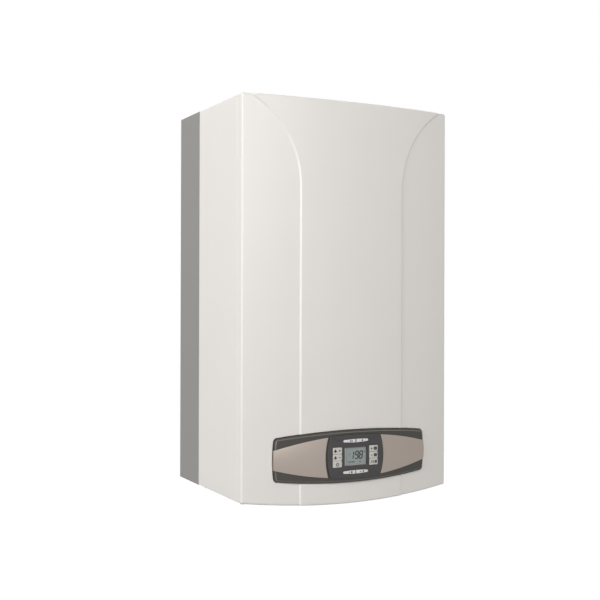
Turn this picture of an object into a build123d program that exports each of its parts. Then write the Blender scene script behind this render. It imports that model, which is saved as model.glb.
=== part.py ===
"""Wall-hung combi boiler with a fan flue, built as an assembly of separate pieces.

Millimetres. +X is right, +Y goes into the wall, +Z is up, and the wall plane is Y = 0.
The origin lies midway between the two hanging holes. Distances from the wall are called
depths, so a point at depth d has Y = -d. Heights are counted from BASE, the lowest point
of the casing's lower edge.
"""
from build123d import *
from math import cos, pi, sin, sqrt
import os

os.makedirs("parts", exist_ok=True)

# Overall casing
WIDTH = 450.0
HEIGHT = 763.0
CORNER_DEPTH = 316.0        # wall to the upright front edges
FRONT_BULGE = 18.0          # the front's arc stands this far forward of its edges
LIP_DROOP = 14.4            # middle of the lower edge hangs this far below its corners
HANG_BELOW_TOP = 35.0
HANG_SPACING = 370.0
HANG_HOLE_R = 5.5

# Clearances
FIT = 0.2                   # between fixed pieces that meet
RUN = 0.05                  # radial, shaft in its bearing
MOVE = 0.3                  # between pieces that slide past each other
SEAM = 0.3                  # visible joint lines of the casing
PANEL_GAP = 0.8             # round the control panel in the front's opening

# Casing sheet metal
SHEET = 1.0
RETURN_DEPTH = 22.0         # front panel's folded sides
CASE_RIM = 20.0             # folded top and bottom rims of the side panels
REAR_FOLD = 12.0
LIP_REACH = 14.0            # side panel's inner lip behind the front's return
LIP_ROOT = 10.0
FIELD_HALF = 112.5          # raised middle of the front, half its width
FIELD_RAISE = 2.5
FLARE_HEIGHT = 165.0        # the raised middle starts to widen this far below the top
FLARE_RADIUS = 185.0

# Rear frame
FRAME_DEPTH = 106.0
FRAME_SHEET = 1.2
FRAME_RIM = 22.0
FRAME_LIP = 12.0
TAB_CLEAR = 14.0            # the upright folds stop this far from the top and bottom
TAB_WIDTH = 17.0
TAB_REACH = 44.0
TAB_ROOT = 22.0
TAB_BOSS_R = 4.5
TAB_BOSS_HEIGHT = 4.0
TAB_GAP = 1.5               # between the frame's side wall and each tab
CHAMBER_WINDOW = 2.0        # the frame's top opening starts this far behind the chamber

# Screws
SCREW_R = 2.0
SCREW_HEAD_R = 4.0
SCREW_HEAD_HEIGHT = 1.6
SCREW_LENGTH = 7.0
CLAMP_R = 2.5
CLAMP_HEAD_R = 5.5
CLAMP_HEAD_HEIGHT = 3.0
CLAMP_LENGTH = 9.0
CLAMP_FORWARD = 22.0        # clamp screws stand this far in front of the frame

# Control panel on the front
PANEL_HEIGHT_ABOVE = 90.3   # its centre above BASE
PANEL_WIDTH = 330.0
PANEL_HEIGHT = 98.0
PANEL_END_HEIGHT = 79.0
PANEL_END_BOW = 4.5
PANEL_CORNER_R = 9.0
PANEL_PROUD = 9.0           # its middle stands this far in front of the casing's arc
PANEL_BOW = 14.5            # its ends lie this far behind its middle
BEZEL_REACH = 39.0          # middle of its surface to its back edge
BEZEL_WALL = 3.0
WING_THICKNESS = 2.0
WING_INNER_HALF = 38.0      # half height at the wing's inner end
WING_MIDDLE_HALF = 31.0
WING_OUTER_HALF = 19.0
WING_MIDDLE_X = 108.0
WING_END_INSET = 1.5
CUT_REACH = 5.0             # cuts run this far past the faces they open

# Removable controller in the middle of the panel
CONTROLLER_HALF = 53.5      # half width at its top and bottom edges
CONTROLLER_BOW = 6.8        # its sides bow outwards by this
CONTROLLER_TOP_HALF = 39.5  # half height at its corners
CONTROLLER_CROWN = 1.5
CONTROLLER_PROUD = 2.0
CONTROLLER_THICKNESS = 25.0
CONTROLLER_WALL = 2.0
POCKET_GAP = 0.4
POCKET_WALL = 2.5
LCD_WIDTH = 48.0
LCD_HEIGHT = 34.0
LENS_THICKNESS = 1.6
LENS_SINK = 0.6
GLASS_MARGIN = 2.0
GLASS_GAP = 1.4             # between the display glass and the lens
GLASS_THICKNESS = 7.4       # of the display with its frame
BOARD_THICKNESS = 1.6
BOARD_HALF_X = 50.0
BOARD_HALF_Z = 34.0
BOARD_POST_R = 2.5
BOARD_POST_INSET_X = 8.0
BOARD_POST_INSET_Z = 6.0
SWITCH_R = 1.8
SWITCH_HEIGHT = 3.2

# Push buttons
KEY_X = 39.5
KEY_WIDTH = 19.0
KEY_HEIGHT = 12.0
KEY_PITCH = 12.6
KEY_CORNER_R = 1.2
KEY_DROP = -0.3             # middle key's centre relative to the panel's centre
STRIP_HEIGHT_ABOVE = 29.5   # strip keys' centres above and below the panel's centre
STRIP_LENGTH = 26.0
STRIP_THICKNESS = 6.8
STRIP_END_THICKNESS = 4.6
STRIP_SPLIT = 2.0
KEY_PROUD = 0.8
KEY_TRAVEL = 0.8
KEY_GAP = 0.3
KEY_FLANGE = 1.4
KEY_FLANGE_THICKNESS = 1.2
KEY_FLANGE_INSET = 1.0      # flanges stop this far short of a key's upper and lower edges
STRIP_FLANGE_INSET = 3.0
KEY_STEM_R = 1.6

# Control box behind the panel
BOX_HALF_X = 150.0
BOX_HALF_Z = 54.0
BOX_DEPTH = 89.0
BOX_WALL = 2.5
ARM_WIDTH = 28.0
ARM_THICKNESS = 8.0
ARM_OVERLAP = 18.0
GLAND_X = -118.0
GLAND_R = 9.0
GLAND_BORE_R = 4.0
GLAND_LENGTH = 14.0
GLAND_FORWARD = 22.0
STANDOFF_R = 4.0
STANDOFF_LENGTH = 19.0
MAIN_BOARD_HALF_X = 130.0
MAIN_BOARD_HALF_Z = 44.0
COVER_SPIGOT = 4.0
GLAND_INSIDE = 2.0
TRANSFORMER_SIZE = 42.0
TRANSFORMER_REACH = 34.0
TRANSFORMER_INSET = 8.0     # from the board's end and above its middle
RELAY_SIZE = 16.0
RELAY_START = -40.0
RELAY_PITCH = 22.4
RELAY_ABOVE = 12.0
CAPACITOR_R = 5.5
CAPACITOR_LENGTH = 20.0
CAPACITOR_START = -100.0
CAPACITOR_PITCH = 15.0
CAPACITOR_ABOVE = 20.0
PLUG_LENGTH = 30.0
PLUG_HEIGHT = 9.0
PLUG_REACH = 11.0
PLUG_START = -102.0
PLUG_PITCH = 36.0
PLUG_ABOVE_EDGE = 3.0
BOARD_PARTS = 4             # relays, capacitors and plugs in each row

# Pipe bracket and the five connections
PLATE_ABOVE = 54.0          # top of the pipe bracket above BASE
PLATE_THICKNESS = 2.0
PLATE_AHEAD = 68.0          # its front edge, in front of the connections
PLATE_FLANGE = 22.0
STUB_PITCH = 65.0
STUB_DEPTH = 90.0
STUB_END = 8.0              # lower end of the stubs above BASE
WIDE_STUB_R = 13.2          # three-quarter inch thread
WIDE_BORE_R = 9.0
NARROW_STUB_R = 10.5        # half inch thread
NARROW_BORE_R = 7.0
STUB_COLLAR = 4.0           # collar under the plate, wider than the thread by this
STUB_THREAD_LENGTH = 30.0

# Hydraulic blocks
BLOCK_MARGIN = 20.0
BLOCK_BEHIND = 30.0         # behind and in front of the connections
BLOCK_AHEAD = 42.0
BLOCK_HEIGHT = 56.0
BOSS_R = 17.0
BOSS_HEIGHT = 30.0
TAP_AHEAD = 28.0            # taps, in front of the connections and midway between two
TAP_BOSS_R = 8.0
TAP_BOSS_LENGTH = 12.0
TAP_SHAFT_R = 4.0
TAP_SHAFT_LENGTH = 26.0
FILL_KNOB_R = 13.0
FILL_KNOB_HEIGHT = 20.0
DRAIN_KNOB_R = 8.5
DRAIN_KNOB_HEIGHT = 12.0
DIVERTER_BORE_R = 9.0
SPINDLE_R = 3.0
SPINDLE_LENGTH = 78.0
VALVE_DISC_R = 8.6
VALVE_DISC_THICKNESS = 4.0
VALVE_SEAT_R = 7.5
ACTUATOR_WIDTH = 44.0
ACTUATOR_HEIGHT = 50.0
ACTUATOR_SOCKET = 30.0
ACTUATOR_CORNER_R = 4.4
ACTUATOR_PLUG = 9.0
ACTUATOR_PLUG_ABOVE = 4.0
TURBINE_R = 8.4
TURBINE_BORE_R = 9.0
TURBINE_HEIGHT = 12.0
TURBINE_HUB_R = 2.5
TURBINE_AXLE_R = 1.2
TURBINE_ABOVE = 16.0
TURBINE_BLADES = 5
TURBINE_BLADE_THICKNESS = 1.0
TURBINE_ROOF = 10.0         # above the turbine's bore
AXLE_ROOF = 3.0             # above the turbine axle's hole
SAFETY_BESIDE = 35.0        # safety valve, outwards of the hot water stub
SAFETY_ABOVE = 30.0
SAFETY_R = 11.0
SAFETY_LENGTH = 20.0
SAFETY_OUTLET_R = 7.0
SAFETY_OUTLET_BORE_R = 5.0
SAFETY_OUTLET_DROP = 54.0
SAFETY_STEM_R = 3.0
SAFETY_STEM_LENGTH = 8.0
SAFETY_KNOB_R = 14.0
SAFETY_KNOB_LENGTH = 16.0
KNOB_LOBES = 6
KNOB_CORE_SHARE = 0.86      # of a knob's radius
KNOB_LOBE_SHARE = 0.72      # lobes' centres, of a knob's radius

# Plate heat exchanger
PHE_HALF_X = 95.0
PHE_BACK = 15.0
PHE_HEIGHT = 72.0
PHE_ABOVE = 12.0
PHE_PLATES = 10
PHE_PLATE_SHARE = 0.4       # of the pitch between two plates' edges
PHE_SKIRT = 3.0             # plates' edges stand this far out of the stack
PHE_PORT_R = 9.0
PHE_PORT_LENGTH = 4.0
PHE_PORT_X = (-3.0, 19.0)   # ports, outwards of the half inch stubs
PHE_PORT_BORE_R = 6.5
PHE_SHEET = 0.8
PHE_RIM = 2.0               # brazed rim round each channel

# Pump
PUMP_INBOARD = 18.0         # of the return stub
PUMP_AHEAD = 2.0            # of the connections
PUMP_NECK = 10.0
VOLUTE_R = 45.0
VOLUTE_WIDTH = 32.0
CAVITY_R = 36.0
CAVITY_WIDTH = 20.0
IMPELLER_R = 33.0
IMPELLER_WIDTH = 12.0
IMPELLER_SHAFT_R = 4.0
IMPELLER_SHAFT_LENGTH = 34.0
MOTOR_CAN_R = 42.0
MOTOR_CAN_LENGTH = 74.0
PUMP_PORT_R = 15.0
PUMP_PORT_BORE_R = 10.0
PUMP_OUTLET_LENGTH = 14.0
AIR_VENT_R = 13.0
AIR_VENT_HEIGHT = 48.0
AIR_VENT_OFFSET = 36.0

# Expansion vessel
VESSEL_SIDE_ROOM = 45.0     # between the vessel and the casing's side
VESSEL_RIM = 6.0
VESSEL_RIM_WIDTH = 5.0
VESSEL_BACK = 2.0
VESSEL_CLEAR = 4.0          # between the vessel and the chamber
VESSEL_EDGE_R = 24.0
VESSEL_WALL = 1.2
VESSEL_PORT_R = 8.0
VESSEL_PORT_BORE_R = 4.0
VESSEL_PORT_LENGTH = 12.0

# Sealed chamber
CHAMBER_BELOW_TOP = 6.0
LOWER_BAY_HEIGHT = 327.0    # casing's lower edge to the chamber
CHAMBER_SIDE_GAP = 25.0     # between the chamber and the casing's outside
CHAMBER_BEHIND = 10.0       # its back, behind the frame's front edge
CHAMBER_FRONT_GAP = 10.0    # its front, behind the side panels' front edges
CHAMBER_SHEET = 1.0
CHAMBER_FLANGE = 10.0
SEAL_THICKNESS = 3.0
SEAL_WIDTH = 12.0
EAR_HEIGHT = 40.0
EAR_INSET = 60.0
PIPE_HOLE_GAP = 0.6

# Burner, combustion chamber and primary heat exchanger, stacked on the chamber floor
BURNER_INSET = 7.0          # from the firebox's sides
BURNER_END_INSET = 6.0      # from its back and front
BURNER_LEG = 13.0
BURNER_HEIGHT = 56.0
BURNER_BARS = 12
BAR_THICKNESS = 9.0
BAR_SHEET = 0.6
BURNER_RAIL = 6.0
BURNER_INLET_R = 4.5
INLET_ABOVE_LEG = 11.0
FIREBOX_SIDE_ROOM = 65.0    # to the chamber's sides, back and front
FIREBOX_BACK_ROOM = 16.0
FIREBOX_FRONT_ROOM = 22.0
FIREBOX_STRAP = 20.0
BOARD_WALL = 12.0           # ceramic fibre boards
EXCHANGER_INSET = 9.0       # its finned part, from the firebox's sides
EXCHANGER_HEIGHT = 58.0
FIN_COUNT = 42
FIN_THICKNESS = 0.6
FIN_INSET = 2.0
WATERWAY_ROWS = 4
WATERWAY_R = 9.0
WATERWAY_WALL = 1.0
HEADER_WIDTH = 10.0
HEADER_WALL = 1.5
ELECTRODE_X = (-70.0, 60.0, 84.0)
ELECTRODE_R = 3.5
ELECTRODE_ABOVE = 12.0
ELECTRODE_FRONT = 18.0
ELECTRODE_INSIDE = 6.0      # sleeves stand this far into the firebox
ELECTRODE_TIP_R = 1.2
ELECTRODE_TIP_LENGTH = 12.0

# Smoke hood, fan and flue collar
HOOD_SHEET = 1.2
HOOD_HEIGHT = 50.8
HOOD_TOP_HALF = 84.0
HOOD_TOP_AHEAD = 30.6       # of the fan's scroll
HOOD_RIM = 8.0
DUCT_HALF = 42.0
DUCT_DEPTH = 29.0
DUCT_CLEAR = 2.0            # behind the duct
FAN_BELOW_TOP = 80.0
SCROLL_R = 52.0
SCROLL_WIDTH = 46.0
SCROLL_SHEET = 1.2
FAN_INLET_R = 28.0
FAN_FOOT_HALF = 34.0
FAN_FOOT_HEIGHT = 14.0
OUTLET_HALF = 25.0
OUTLET_PLATE_HALF = 34.0
OUTLET_PLATE_THICKNESS = 3.0
OUTLET_PLATE_BELOW = 14.0
OUTLET_RING_TOP_BELOW = 4.0
FAN_WHEEL_R = 42.0
FAN_WHEEL_WIDTH = 30.0
FAN_BLADES = 16
FAN_BLADE_LENGTH = 9.0
FAN_BLADE_THICKNESS = 1.2
FAN_DISC_THICKNESS = 2.0
FAN_BLADE_TILT = 25.0
FAN_BLADE_INSET = 1.0
FAN_WHEEL_SETBACK = 4.0     # wheel behind the scroll's front wall
FAN_SHAFT_R = 4.0
FAN_SHAFT_HOLE_R = 7.0
FAN_MOTOR_R = 34.0
FAN_MOTOR_LENGTH = 46.0
FAN_MOTOR_SOCKET = 30.0
FAN_MOTOR_PLATE = 3.0
FAN_MOTOR_RIM = 4.0
SHAFT_END_GAP = 1.0
EXHAUST_R = 30.4            # takes the 60 mm exhaust pipe
EXHAUST_WALL = 1.6
AIR_COLLAR_R = 50.0         # the 100 mm air pipe slides over it
AIR_COLLAR_WALL = 1.5
COLLAR_ABOVE_TOP = 24.0
COLLAR_FLANGE_R = 64.0
COLLAR_FLANGE_THICKNESS = 2.0
COLLAR_RIB_THICKNESS = 2.0
COLLAR_RIBS = 3
RIB_BITE = 0.5              # ribs run this far into both tubes
SWITCH_BODY_R = 30.0
SWITCH_BODY_THICKNESS = 22.0
SWITCH_AHEAD = 104.0        # of the chamber's back
SWITCH_BELOW_TOP = 90.0
SWITCH_PLUG_LENGTH = 8.0
SWITCH_PLUG_HALF_DEPTH = 8.0
SWITCH_PLUG_HALF_Z = 10.0
SWITCH_SPIGOT_R = 2.4
SWITCH_SPIGOT_LENGTH = 7.0
SWITCH_SPIGOT_SPREAD = 14.0
HOSE_R = 3.6
HOSE_WALL = 1.0
HOSE_START = 2.0            # hoses cover their spigots up to this far from the switch
HOSE_STRAIGHT = 22.0
HOSE_SLANT = 20.0
HOSE_END_RUN = 30.0
HOSE_END_SPREAD = 8.0
HOSE_BELOW_PLATE = 6.0
HOSE_BEND_R = 10.0

# Gas valve, pipes and manifold
GAS_VALVE_HALF = 42.0
GAS_VALVE_BEHIND = 28.0     # behind and in front of the connections
GAS_VALVE_AHEAD = 38.0
GAS_VALVE_ABOVE = 146.0     # its underside above the pipe bracket
GAS_VALVE_HEIGHT = 84.0
GAS_OUTLET_BELOW = 17.0
SOLENOID_R = 15.0
SOLENOID_LENGTH = 26.0
SOLENOID_ABOVE = 6.0
GAS_PIPE_R = 9.0
GAS_PIPE_WALL = 1.0
GAS_BEND_R = 30.0
MANIFOLD_R = 9.0
MANIFOLD_INSET = 2.0        # from the burner's ends
MANIFOLD_AHEAD = 15.0       # of the burner
INJECTOR_R = 3.0

# Water pipes
WATER_PIPE_R = 9.0
WATER_PIPE_WALL = 1.0
RISER_INSET = 35.0          # from the chamber's sides
WATER_BEND_R = 22.0
FLOW_PORT_OFFSET = 15.0     # flow pipe's port, outwards and forwards of the hot water stub
FLOW_BEND_ABOVE = 50.0      # its slanting run ends this far above and below mid height
FLOW_BEND_BELOW = 40.0
RETURN_BEND_BELOW = 24.0    # return pipe's bends, below the chamber and above the pump
RETURN_BEND_ABOVE = 34.0
VESSEL_PIPE_R = 5.0
VESSEL_PIPE_BESIDE = 30.0   # outwards of the pump
VESSEL_PIPE_INSET = 7.0     # in front of the block's back
VESSEL_BEND_R = 16.0
VESSEL_BEND_HIGH = 34.0     # vessel pipe's bends, below the vessel's port
VESSEL_BEND_LOW = 90.0
CAPILLARY_R = 1.5
CAPILLARY_BEND_R = 8.0
CAPILLARY_ABOVE = 30.0

# Pressure gauge under the pipe bracket
GAUGE_BESIDE = 32.0         # left of the gas connection
GAUGE_AHEAD = 36.0          # of the connections
GAUGE_R = 20.0
GAUGE_HEIGHT = 26.0
GAUGE_WALL = 1.6
GAUGE_RECESS = 7.0
GAUGE_NECK_R = 7.0
GAUGE_NECK_LENGTH = 10.0
GAUGE_LENS_THICKNESS = 1.5
NEEDLE_LENGTH = 14.0
NEEDLE_TAIL = 4.6
NEEDLE_WIDTH = 1.6
NEEDLE_THICKNESS = 0.8
NEEDLE_HUB_R = 2.4
NEEDLE_HUB_THICKNESS = 2.0
NEEDLE_PIN_R = 0.8
NEEDLE_PIN_LENGTH = 4.0
NEEDLE_REST_TURN = -45.0    # zero on the dial, from pointing left

# Casing's levels and places, worked out from the sizes above
TOP = HANG_BELOW_TOP
BASE = TOP - HEIGHT
CORNER_BASE = BASE + LIP_DROOP
HALF = WIDTH / 2
SIDE_FRONT = CORNER_DEPTH - RETURN_DEPTH

# Control panel's places
PANEL_Z = BASE + PANEL_HEIGHT_ABOVE
PANEL_SPAN = (PANEL_Z - PANEL_HEIGHT, PANEL_Z + PANEL_HEIGHT)
PANEL_APEX_DEPTH = CORNER_DEPTH + FRONT_BULGE + PANEL_PROUD
PANEL_FRONT = PANEL_APEX_DEPTH + CUT_REACH
BEZEL_BACK = PANEL_APEX_DEPTH - BEZEL_REACH
CONTROLLER_FRONT = PANEL_APEX_DEPTH + CONTROLLER_PROUD
CONTROLLER_BACK = CONTROLLER_FRONT - CONTROLLER_THICKNESS
LENS_FRONT = CONTROLLER_FRONT - LENS_SINK
GLASS_FRONT = LENS_FRONT - LENS_THICKNESS - GLASS_GAP
BOARD_FRONT = GLASS_FRONT - GLASS_THICKNESS
SWITCH_FRONT = BOARD_FRONT + SWITCH_HEIGHT
BOX_BACK = BEZEL_BACK - BOX_DEPTH

# Hydraulics' places
PLATE_TOP = BASE + PLATE_ABOVE
PLATE_BOTTOM = PLATE_TOP - PLATE_THICKNESS
PLATE_DEPTH = STUB_DEPTH + PLATE_AHEAD
BLOCK_BASE = PLATE_TOP + FIT
BLOCK_TOP = BLOCK_BASE + BLOCK_HEIGHT
BLOCK_BACK = STUB_DEPTH - BLOCK_BEHIND
BLOCK_FRONT = STUB_DEPTH + BLOCK_AHEAD
DIVERTER_X = -2 * STUB_PITCH
TURBINE_X = STUB_PITCH
TAP_X = 1.5 * STUB_PITCH
TAP_DEPTH = STUB_DEPTH + TAP_AHEAD
SAFETY_X = -STUB_PITCH - SAFETY_BESIDE
PUMP_X = 2 * STUB_PITCH - PUMP_INBOARD
PUMP_DEPTH = STUB_DEPTH + PUMP_AHEAD
PUMP_Z = BLOCK_TOP + FIT + PUMP_NECK + VOLUTE_R
VESSEL_PIPE_X = PUMP_X + VESSEL_PIPE_BESIDE
VESSEL_PIPE_DEPTH = BLOCK_BACK + VESSEL_PIPE_INSET
GAS_VALVE_BACK = STUB_DEPTH - GAS_VALVE_BEHIND
GAS_VALVE_FRONT = STUB_DEPTH + GAS_VALVE_AHEAD
GAS_VALVE_BASE = PLATE_TOP + GAS_VALVE_ABOVE
GAS_OUTLET_Z = GAS_VALVE_BASE + GAS_VALVE_HEIGHT - GAS_OUTLET_BELOW
GAUGE_X = -GAUGE_BESIDE
GAUGE_DEPTH = STUB_DEPTH + GAUGE_AHEAD
GAUGE_TOP = PLATE_BOTTOM - FIT
GAUGE_BASE = GAUGE_TOP - GAUGE_HEIGHT

# Sealed chamber's places
CHAMBER_TOP = TOP - CHAMBER_BELOW_TOP
CHAMBER_BOTTOM = BASE + LOWER_BAY_HEIGHT
CHAMBER_HEIGHT = CHAMBER_TOP - CHAMBER_BOTTOM
CHAMBER_FLOOR = CHAMBER_BOTTOM + CHAMBER_SHEET
CHAMBER_HALF = HALF - CHAMBER_SIDE_GAP
CHAMBER_BACK = FRAME_DEPTH - CHAMBER_BEHIND
CHAMBER_FRONT = SIDE_FRONT - CHAMBER_FRONT_GAP
VESSEL_Z = (CHAMBER_TOP + CHAMBER_BOTTOM) / 2
VESSEL_R = HALF - VESSEL_SIDE_ROOM
VESSEL_WIDTH = CHAMBER_BACK - VESSEL_BACK - VESSEL_CLEAR
DUCT_BACK = CHAMBER_BACK + CHAMBER_SHEET + DUCT_CLEAR
DUCT_FRONT = DUCT_BACK + DUCT_DEPTH
SCROLL_BACK = DUCT_FRONT + FIT
SCROLL_FRONT = SCROLL_BACK + SCROLL_WIDTH
FLUE_DEPTH = SCROLL_BACK + SCROLL_WIDTH / 2
FAN_X = OUTLET_HALF - SCROLL_R
FAN_Z = CHAMBER_TOP - FAN_BELOW_TOP
SWITCH_DEPTH = CHAMBER_BACK + SWITCH_AHEAD

# Stack in the chamber: the firebox fills what the burner and the exchanger leave
HOOD_TOP = FAN_Z - SCROLL_R - FIT
HOOD_BASE = HOOD_TOP - HOOD_HEIGHT
HOOD_TOP_FRONT = SCROLL_FRONT + HOOD_TOP_AHEAD
EXCHANGER_TOP = HOOD_BASE - FIT
EXCHANGER_BASE = EXCHANGER_TOP - EXCHANGER_HEIGHT
FIREBOX_TOP = EXCHANGER_BASE - FIT
FIREBOX_HALF = CHAMBER_HALF - FIREBOX_SIDE_ROOM
FIREBOX_BACK = CHAMBER_BACK + FIREBOX_BACK_ROOM
FIREBOX_FRONT = CHAMBER_FRONT - FIREBOX_FRONT_ROOM
EXCHANGER_HALF = FIREBOX_HALF - EXCHANGER_INSET
BURNER_HALF = FIREBOX_HALF - BURNER_INSET
BURNER_BACK = FIREBOX_BACK + BURNER_END_INSET
BURNER_FRONT = FIREBOX_FRONT - BURNER_END_INSET
BURNER_BASE = CHAMBER_FLOOR + FIT
BURNER_TOP = BURNER_BASE + BURNER_LEG + BURNER_HEIGHT
FIREBOX_BASE = BURNER_TOP + FIT
INLET_Z = BURNER_BASE + BURNER_LEG + INLET_ABOVE_LEG
MANIFOLD_HALF = BURNER_HALF - MANIFOLD_INSET
MANIFOLD_DEPTH = BURNER_FRONT + MANIFOLD_AHEAD
RISER_X = CHAMBER_HALF - RISER_INSET
RISER_DEPTH = (FIREBOX_BACK + FIREBOX_FRONT) / 2

RIGHT = (1, 0, 0)
FORWARD = (0, -1, 0)
BACKWARD = (0, 1, 0)
UP = (0, 0, 1)
DOWN = (0, 0, -1)
SIDES = (-1, 1)
FROM_START = (Align.CENTER, Align.CENTER, Align.MIN)


def at(x, depth, z):
    """Point at this X, distance from the wall and Z."""
    return (x, -depth, z)


def both(half):
    """Range from -half to half."""
    return (-half, half)


def around(centre, half):
    """Range of this half width about a centre."""
    return (centre - half, centre + half)


def beside(side, near, far):
    """X range from near to far on the left (-1) or the right (1)."""
    return tuple(sorted((side * near, side * far)))


def block(x, depth, z):
    """Box between two X values, two distances from the wall and two Z values."""
    size = (x[1] - x[0], depth[1] - depth[0], z[1] - z[0])
    middle = at((x[0] + x[1]) / 2, (depth[0] + depth[1]) / 2, (z[0] + z[1]) / 2)
    return Pos(*middle) * Box(*size)


def rod(start, direction, radius, length):
    """Cylinder that starts at a point and runs along a direction."""
    return Plane(origin=start, z_dir=direction) * Cylinder(radius, length, align=FROM_START)


def ring(start, direction, outer, inner, length):
    """Tube that starts at a point and runs along a direction."""
    return rod(start, direction, outer, length) - rod(start, direction, inner, length)


def wall_slab(outline, depth):
    """Outline drawn in X and Z, extruded between two distances from the wall."""
    placed = Plane.XZ.offset(depth[0]) * outline
    return extrude(placed, amount=depth[1] - depth[0])


def bent_tube(points, outer, inner, bend):
    """Tube along straight runs joined by arcs of one radius."""
    path = FilletPolyline(*points, radius=bend)
    start = Plane(origin=path @ 0, z_dir=path % 0)
    return sweep(start * (Circle(outer) - Circle(inner)), path=path)


def arc_radius(half_chord, rise):
    """Radius of the arc with this half chord and rise."""
    return (half_chord ** 2 + rise ** 2) / (2 * rise)


CASE_RADIUS = arc_radius(HALF, FRONT_BULGE)
CASE_CENTRE = CORNER_DEPTH + FRONT_BULGE - CASE_RADIUS
PANEL_RADIUS = arc_radius(PANEL_WIDTH / 2, PANEL_BOW)
PANEL_CENTRE = PANEL_APEX_DEPTH - PANEL_RADIUS
DROOP_RADIUS = arc_radius(HALF, LIP_DROOP)


def bowed_block(half, back, radius, centre, z):
    """Block whose front is part of an upright cylinder about a depth on X = 0."""
    edge = centre + sqrt(radius ** 2 - half ** 2)
    front = ThreePointArc((-half, -edge), (0, -centre - radius), (half, -edge))
    rest = Polyline((half, -edge), (half, -back), (-half, -back), (-half, -edge))
    return extrude(Pos(0, 0, z[0]) * make_face([front, rest]), amount=z[1] - z[0])


def case_block(back, offset, z):
    """Block up to the front's curved surface, moved forward by an offset."""
    return bowed_block(HALF, back, CASE_RADIUS + offset, CASE_CENTRE, z)


def panel_block(back, offset, z):
    """Block up to the control panel's curved surface, moved forward by an offset."""
    half = PANEL_WIDTH / 2 + CUT_REACH
    return bowed_block(half, back, PANEL_RADIUS + offset, PANEL_CENTRE, z)


def panel_depth(x, offset):
    """Distance from the wall to the control panel's surface at this X."""
    return PANEL_CENTRE + sqrt((PANEL_RADIUS + offset) ** 2 - x ** 2)


def lip_z(x, inset):
    """Height of the front's lower edge at this X, raised by an inset."""
    return BASE + DROOP_RADIUS - sqrt((DROOP_RADIUS - inset) ** 2 - x ** 2)


def front_outline(inset):
    """Front seen straight on: three straight edges and the drooping lower edge."""
    half = HALF - inset
    corner = lip_z(half, inset)
    lip = ThreePointArc((-half, corner), (0, BASE + inset), (half, corner))
    rest = Polyline((half, corner), (half, TOP - inset), (-half, TOP - inset), (-half, corner))
    return make_face([lip, rest])


def field_outline(inset):
    """Raised middle of the front: upright sides that flare out to the top edge."""
    half = FIELD_HALF - inset
    radius = FLARE_RADIUS + inset
    start = TOP - FLARE_HEIGHT
    rise = TOP - inset - start
    middle = rise / 2
    flare_mid = half + radius - sqrt(radius ** 2 - middle ** 2)
    flare_end = half + radius - sqrt(radius ** 2 - rise ** 2)
    right = ThreePointArc((half, start), (flare_mid, start + middle), (flare_end, start + rise))
    left = ThreePointArc((-flare_end, start + rise), (-flare_mid, start + middle), (-half, start))
    top = Line((flare_end, start + rise), (-flare_end, start + rise))
    rest = Polyline((-half, start), (-half, BASE), (half, BASE), (half, start))
    return make_face([right, top, left, rest])


def bezel_outline(gap):
    """Control panel seen straight on, grown by a gap on every side."""
    end = PANEL_WIDTH / 2 + gap
    corner_x = end - PANEL_END_BOW
    corner_z = PANEL_END_HEIGHT / 2 + gap
    crown = PANEL_HEIGHT / 2 + gap
    edges = [
        ThreePointArc((-corner_x, corner_z), (0, crown), (corner_x, corner_z)),
        ThreePointArc((corner_x, corner_z), (end, 0), (corner_x, -corner_z)),
        ThreePointArc((corner_x, -corner_z), (0, -crown), (-corner_x, -corner_z)),
        ThreePointArc((-corner_x, -corner_z), (-end, 0), (-corner_x, corner_z)),
    ]
    face = make_face(edges)
    return Pos(0, PANEL_Z) * fillet(face.vertices(), PANEL_CORNER_R + gap)


def controller_side_x(z):
    """X of the controller's bowed side at a height from the panel's centre."""
    radius = arc_radius(CONTROLLER_TOP_HALF, CONTROLLER_BOW)
    return CONTROLLER_HALF + CONTROLLER_BOW - radius + sqrt(radius ** 2 - z ** 2)


def controller_outline(gap):
    """Removable controller seen straight on, grown by a gap on every side."""
    x = CONTROLLER_HALF + gap
    z = CONTROLLER_TOP_HALF + gap
    crown = z + CONTROLLER_CROWN
    side = x + CONTROLLER_BOW
    edges = [
        ThreePointArc((-x, z), (0, crown), (x, z)),
        ThreePointArc((x, z), (side, 0), (x, -z)),
        ThreePointArc((x, -z), (0, -crown), (-x, -z)),
        ThreePointArc((-x, -z), (-side, 0), (-x, z)),
    ]
    return Pos(0, PANEL_Z) * make_face(edges)


def wing_outline(side, gap):
    """Wing from the controller's pocket to the panel's end, narrowing outwards."""
    inner = WING_INNER_HALF + gap
    outer = WING_OUTER_HALF + gap
    middle = WING_MIDDLE_HALF + gap
    start_x = controller_side_x(WING_INNER_HALF) + POCKET_GAP + POCKET_WALL - gap
    bow_x = controller_side_x(0) + POCKET_GAP + POCKET_WALL - gap
    end_radius = arc_radius(PANEL_END_HEIGHT / 2, PANEL_END_BOW)
    end_drop = end_radius - sqrt(end_radius ** 2 - outer ** 2)
    tip_x = PANEL_WIDTH / 2 - WING_END_INSET + gap
    end_x = tip_x - end_drop
    edges = [
        ThreePointArc((side * start_x, inner), (side * WING_MIDDLE_X, middle), (side * end_x, outer)),
        ThreePointArc((side * end_x, outer), (side * tip_x, 0), (side * end_x, -outer)),
        ThreePointArc((side * end_x, -outer), (side * WING_MIDDLE_X, -middle), (side * start_x, -inner)),
        ThreePointArc((side * start_x, -inner), (side * bow_x, 0), (side * start_x, inner)),
    ]
    return Pos(0, PANEL_Z) * make_face(edges)


def key_outline(side, row):
    """Rectangular key in one of three rows, 1 above and -1 below the middle."""
    z = PANEL_Z + KEY_DROP + row * KEY_PITCH
    return Pos(side * KEY_X, z) * RectangleRounded(KEY_WIDTH, KEY_HEIGHT, KEY_CORNER_R)


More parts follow.
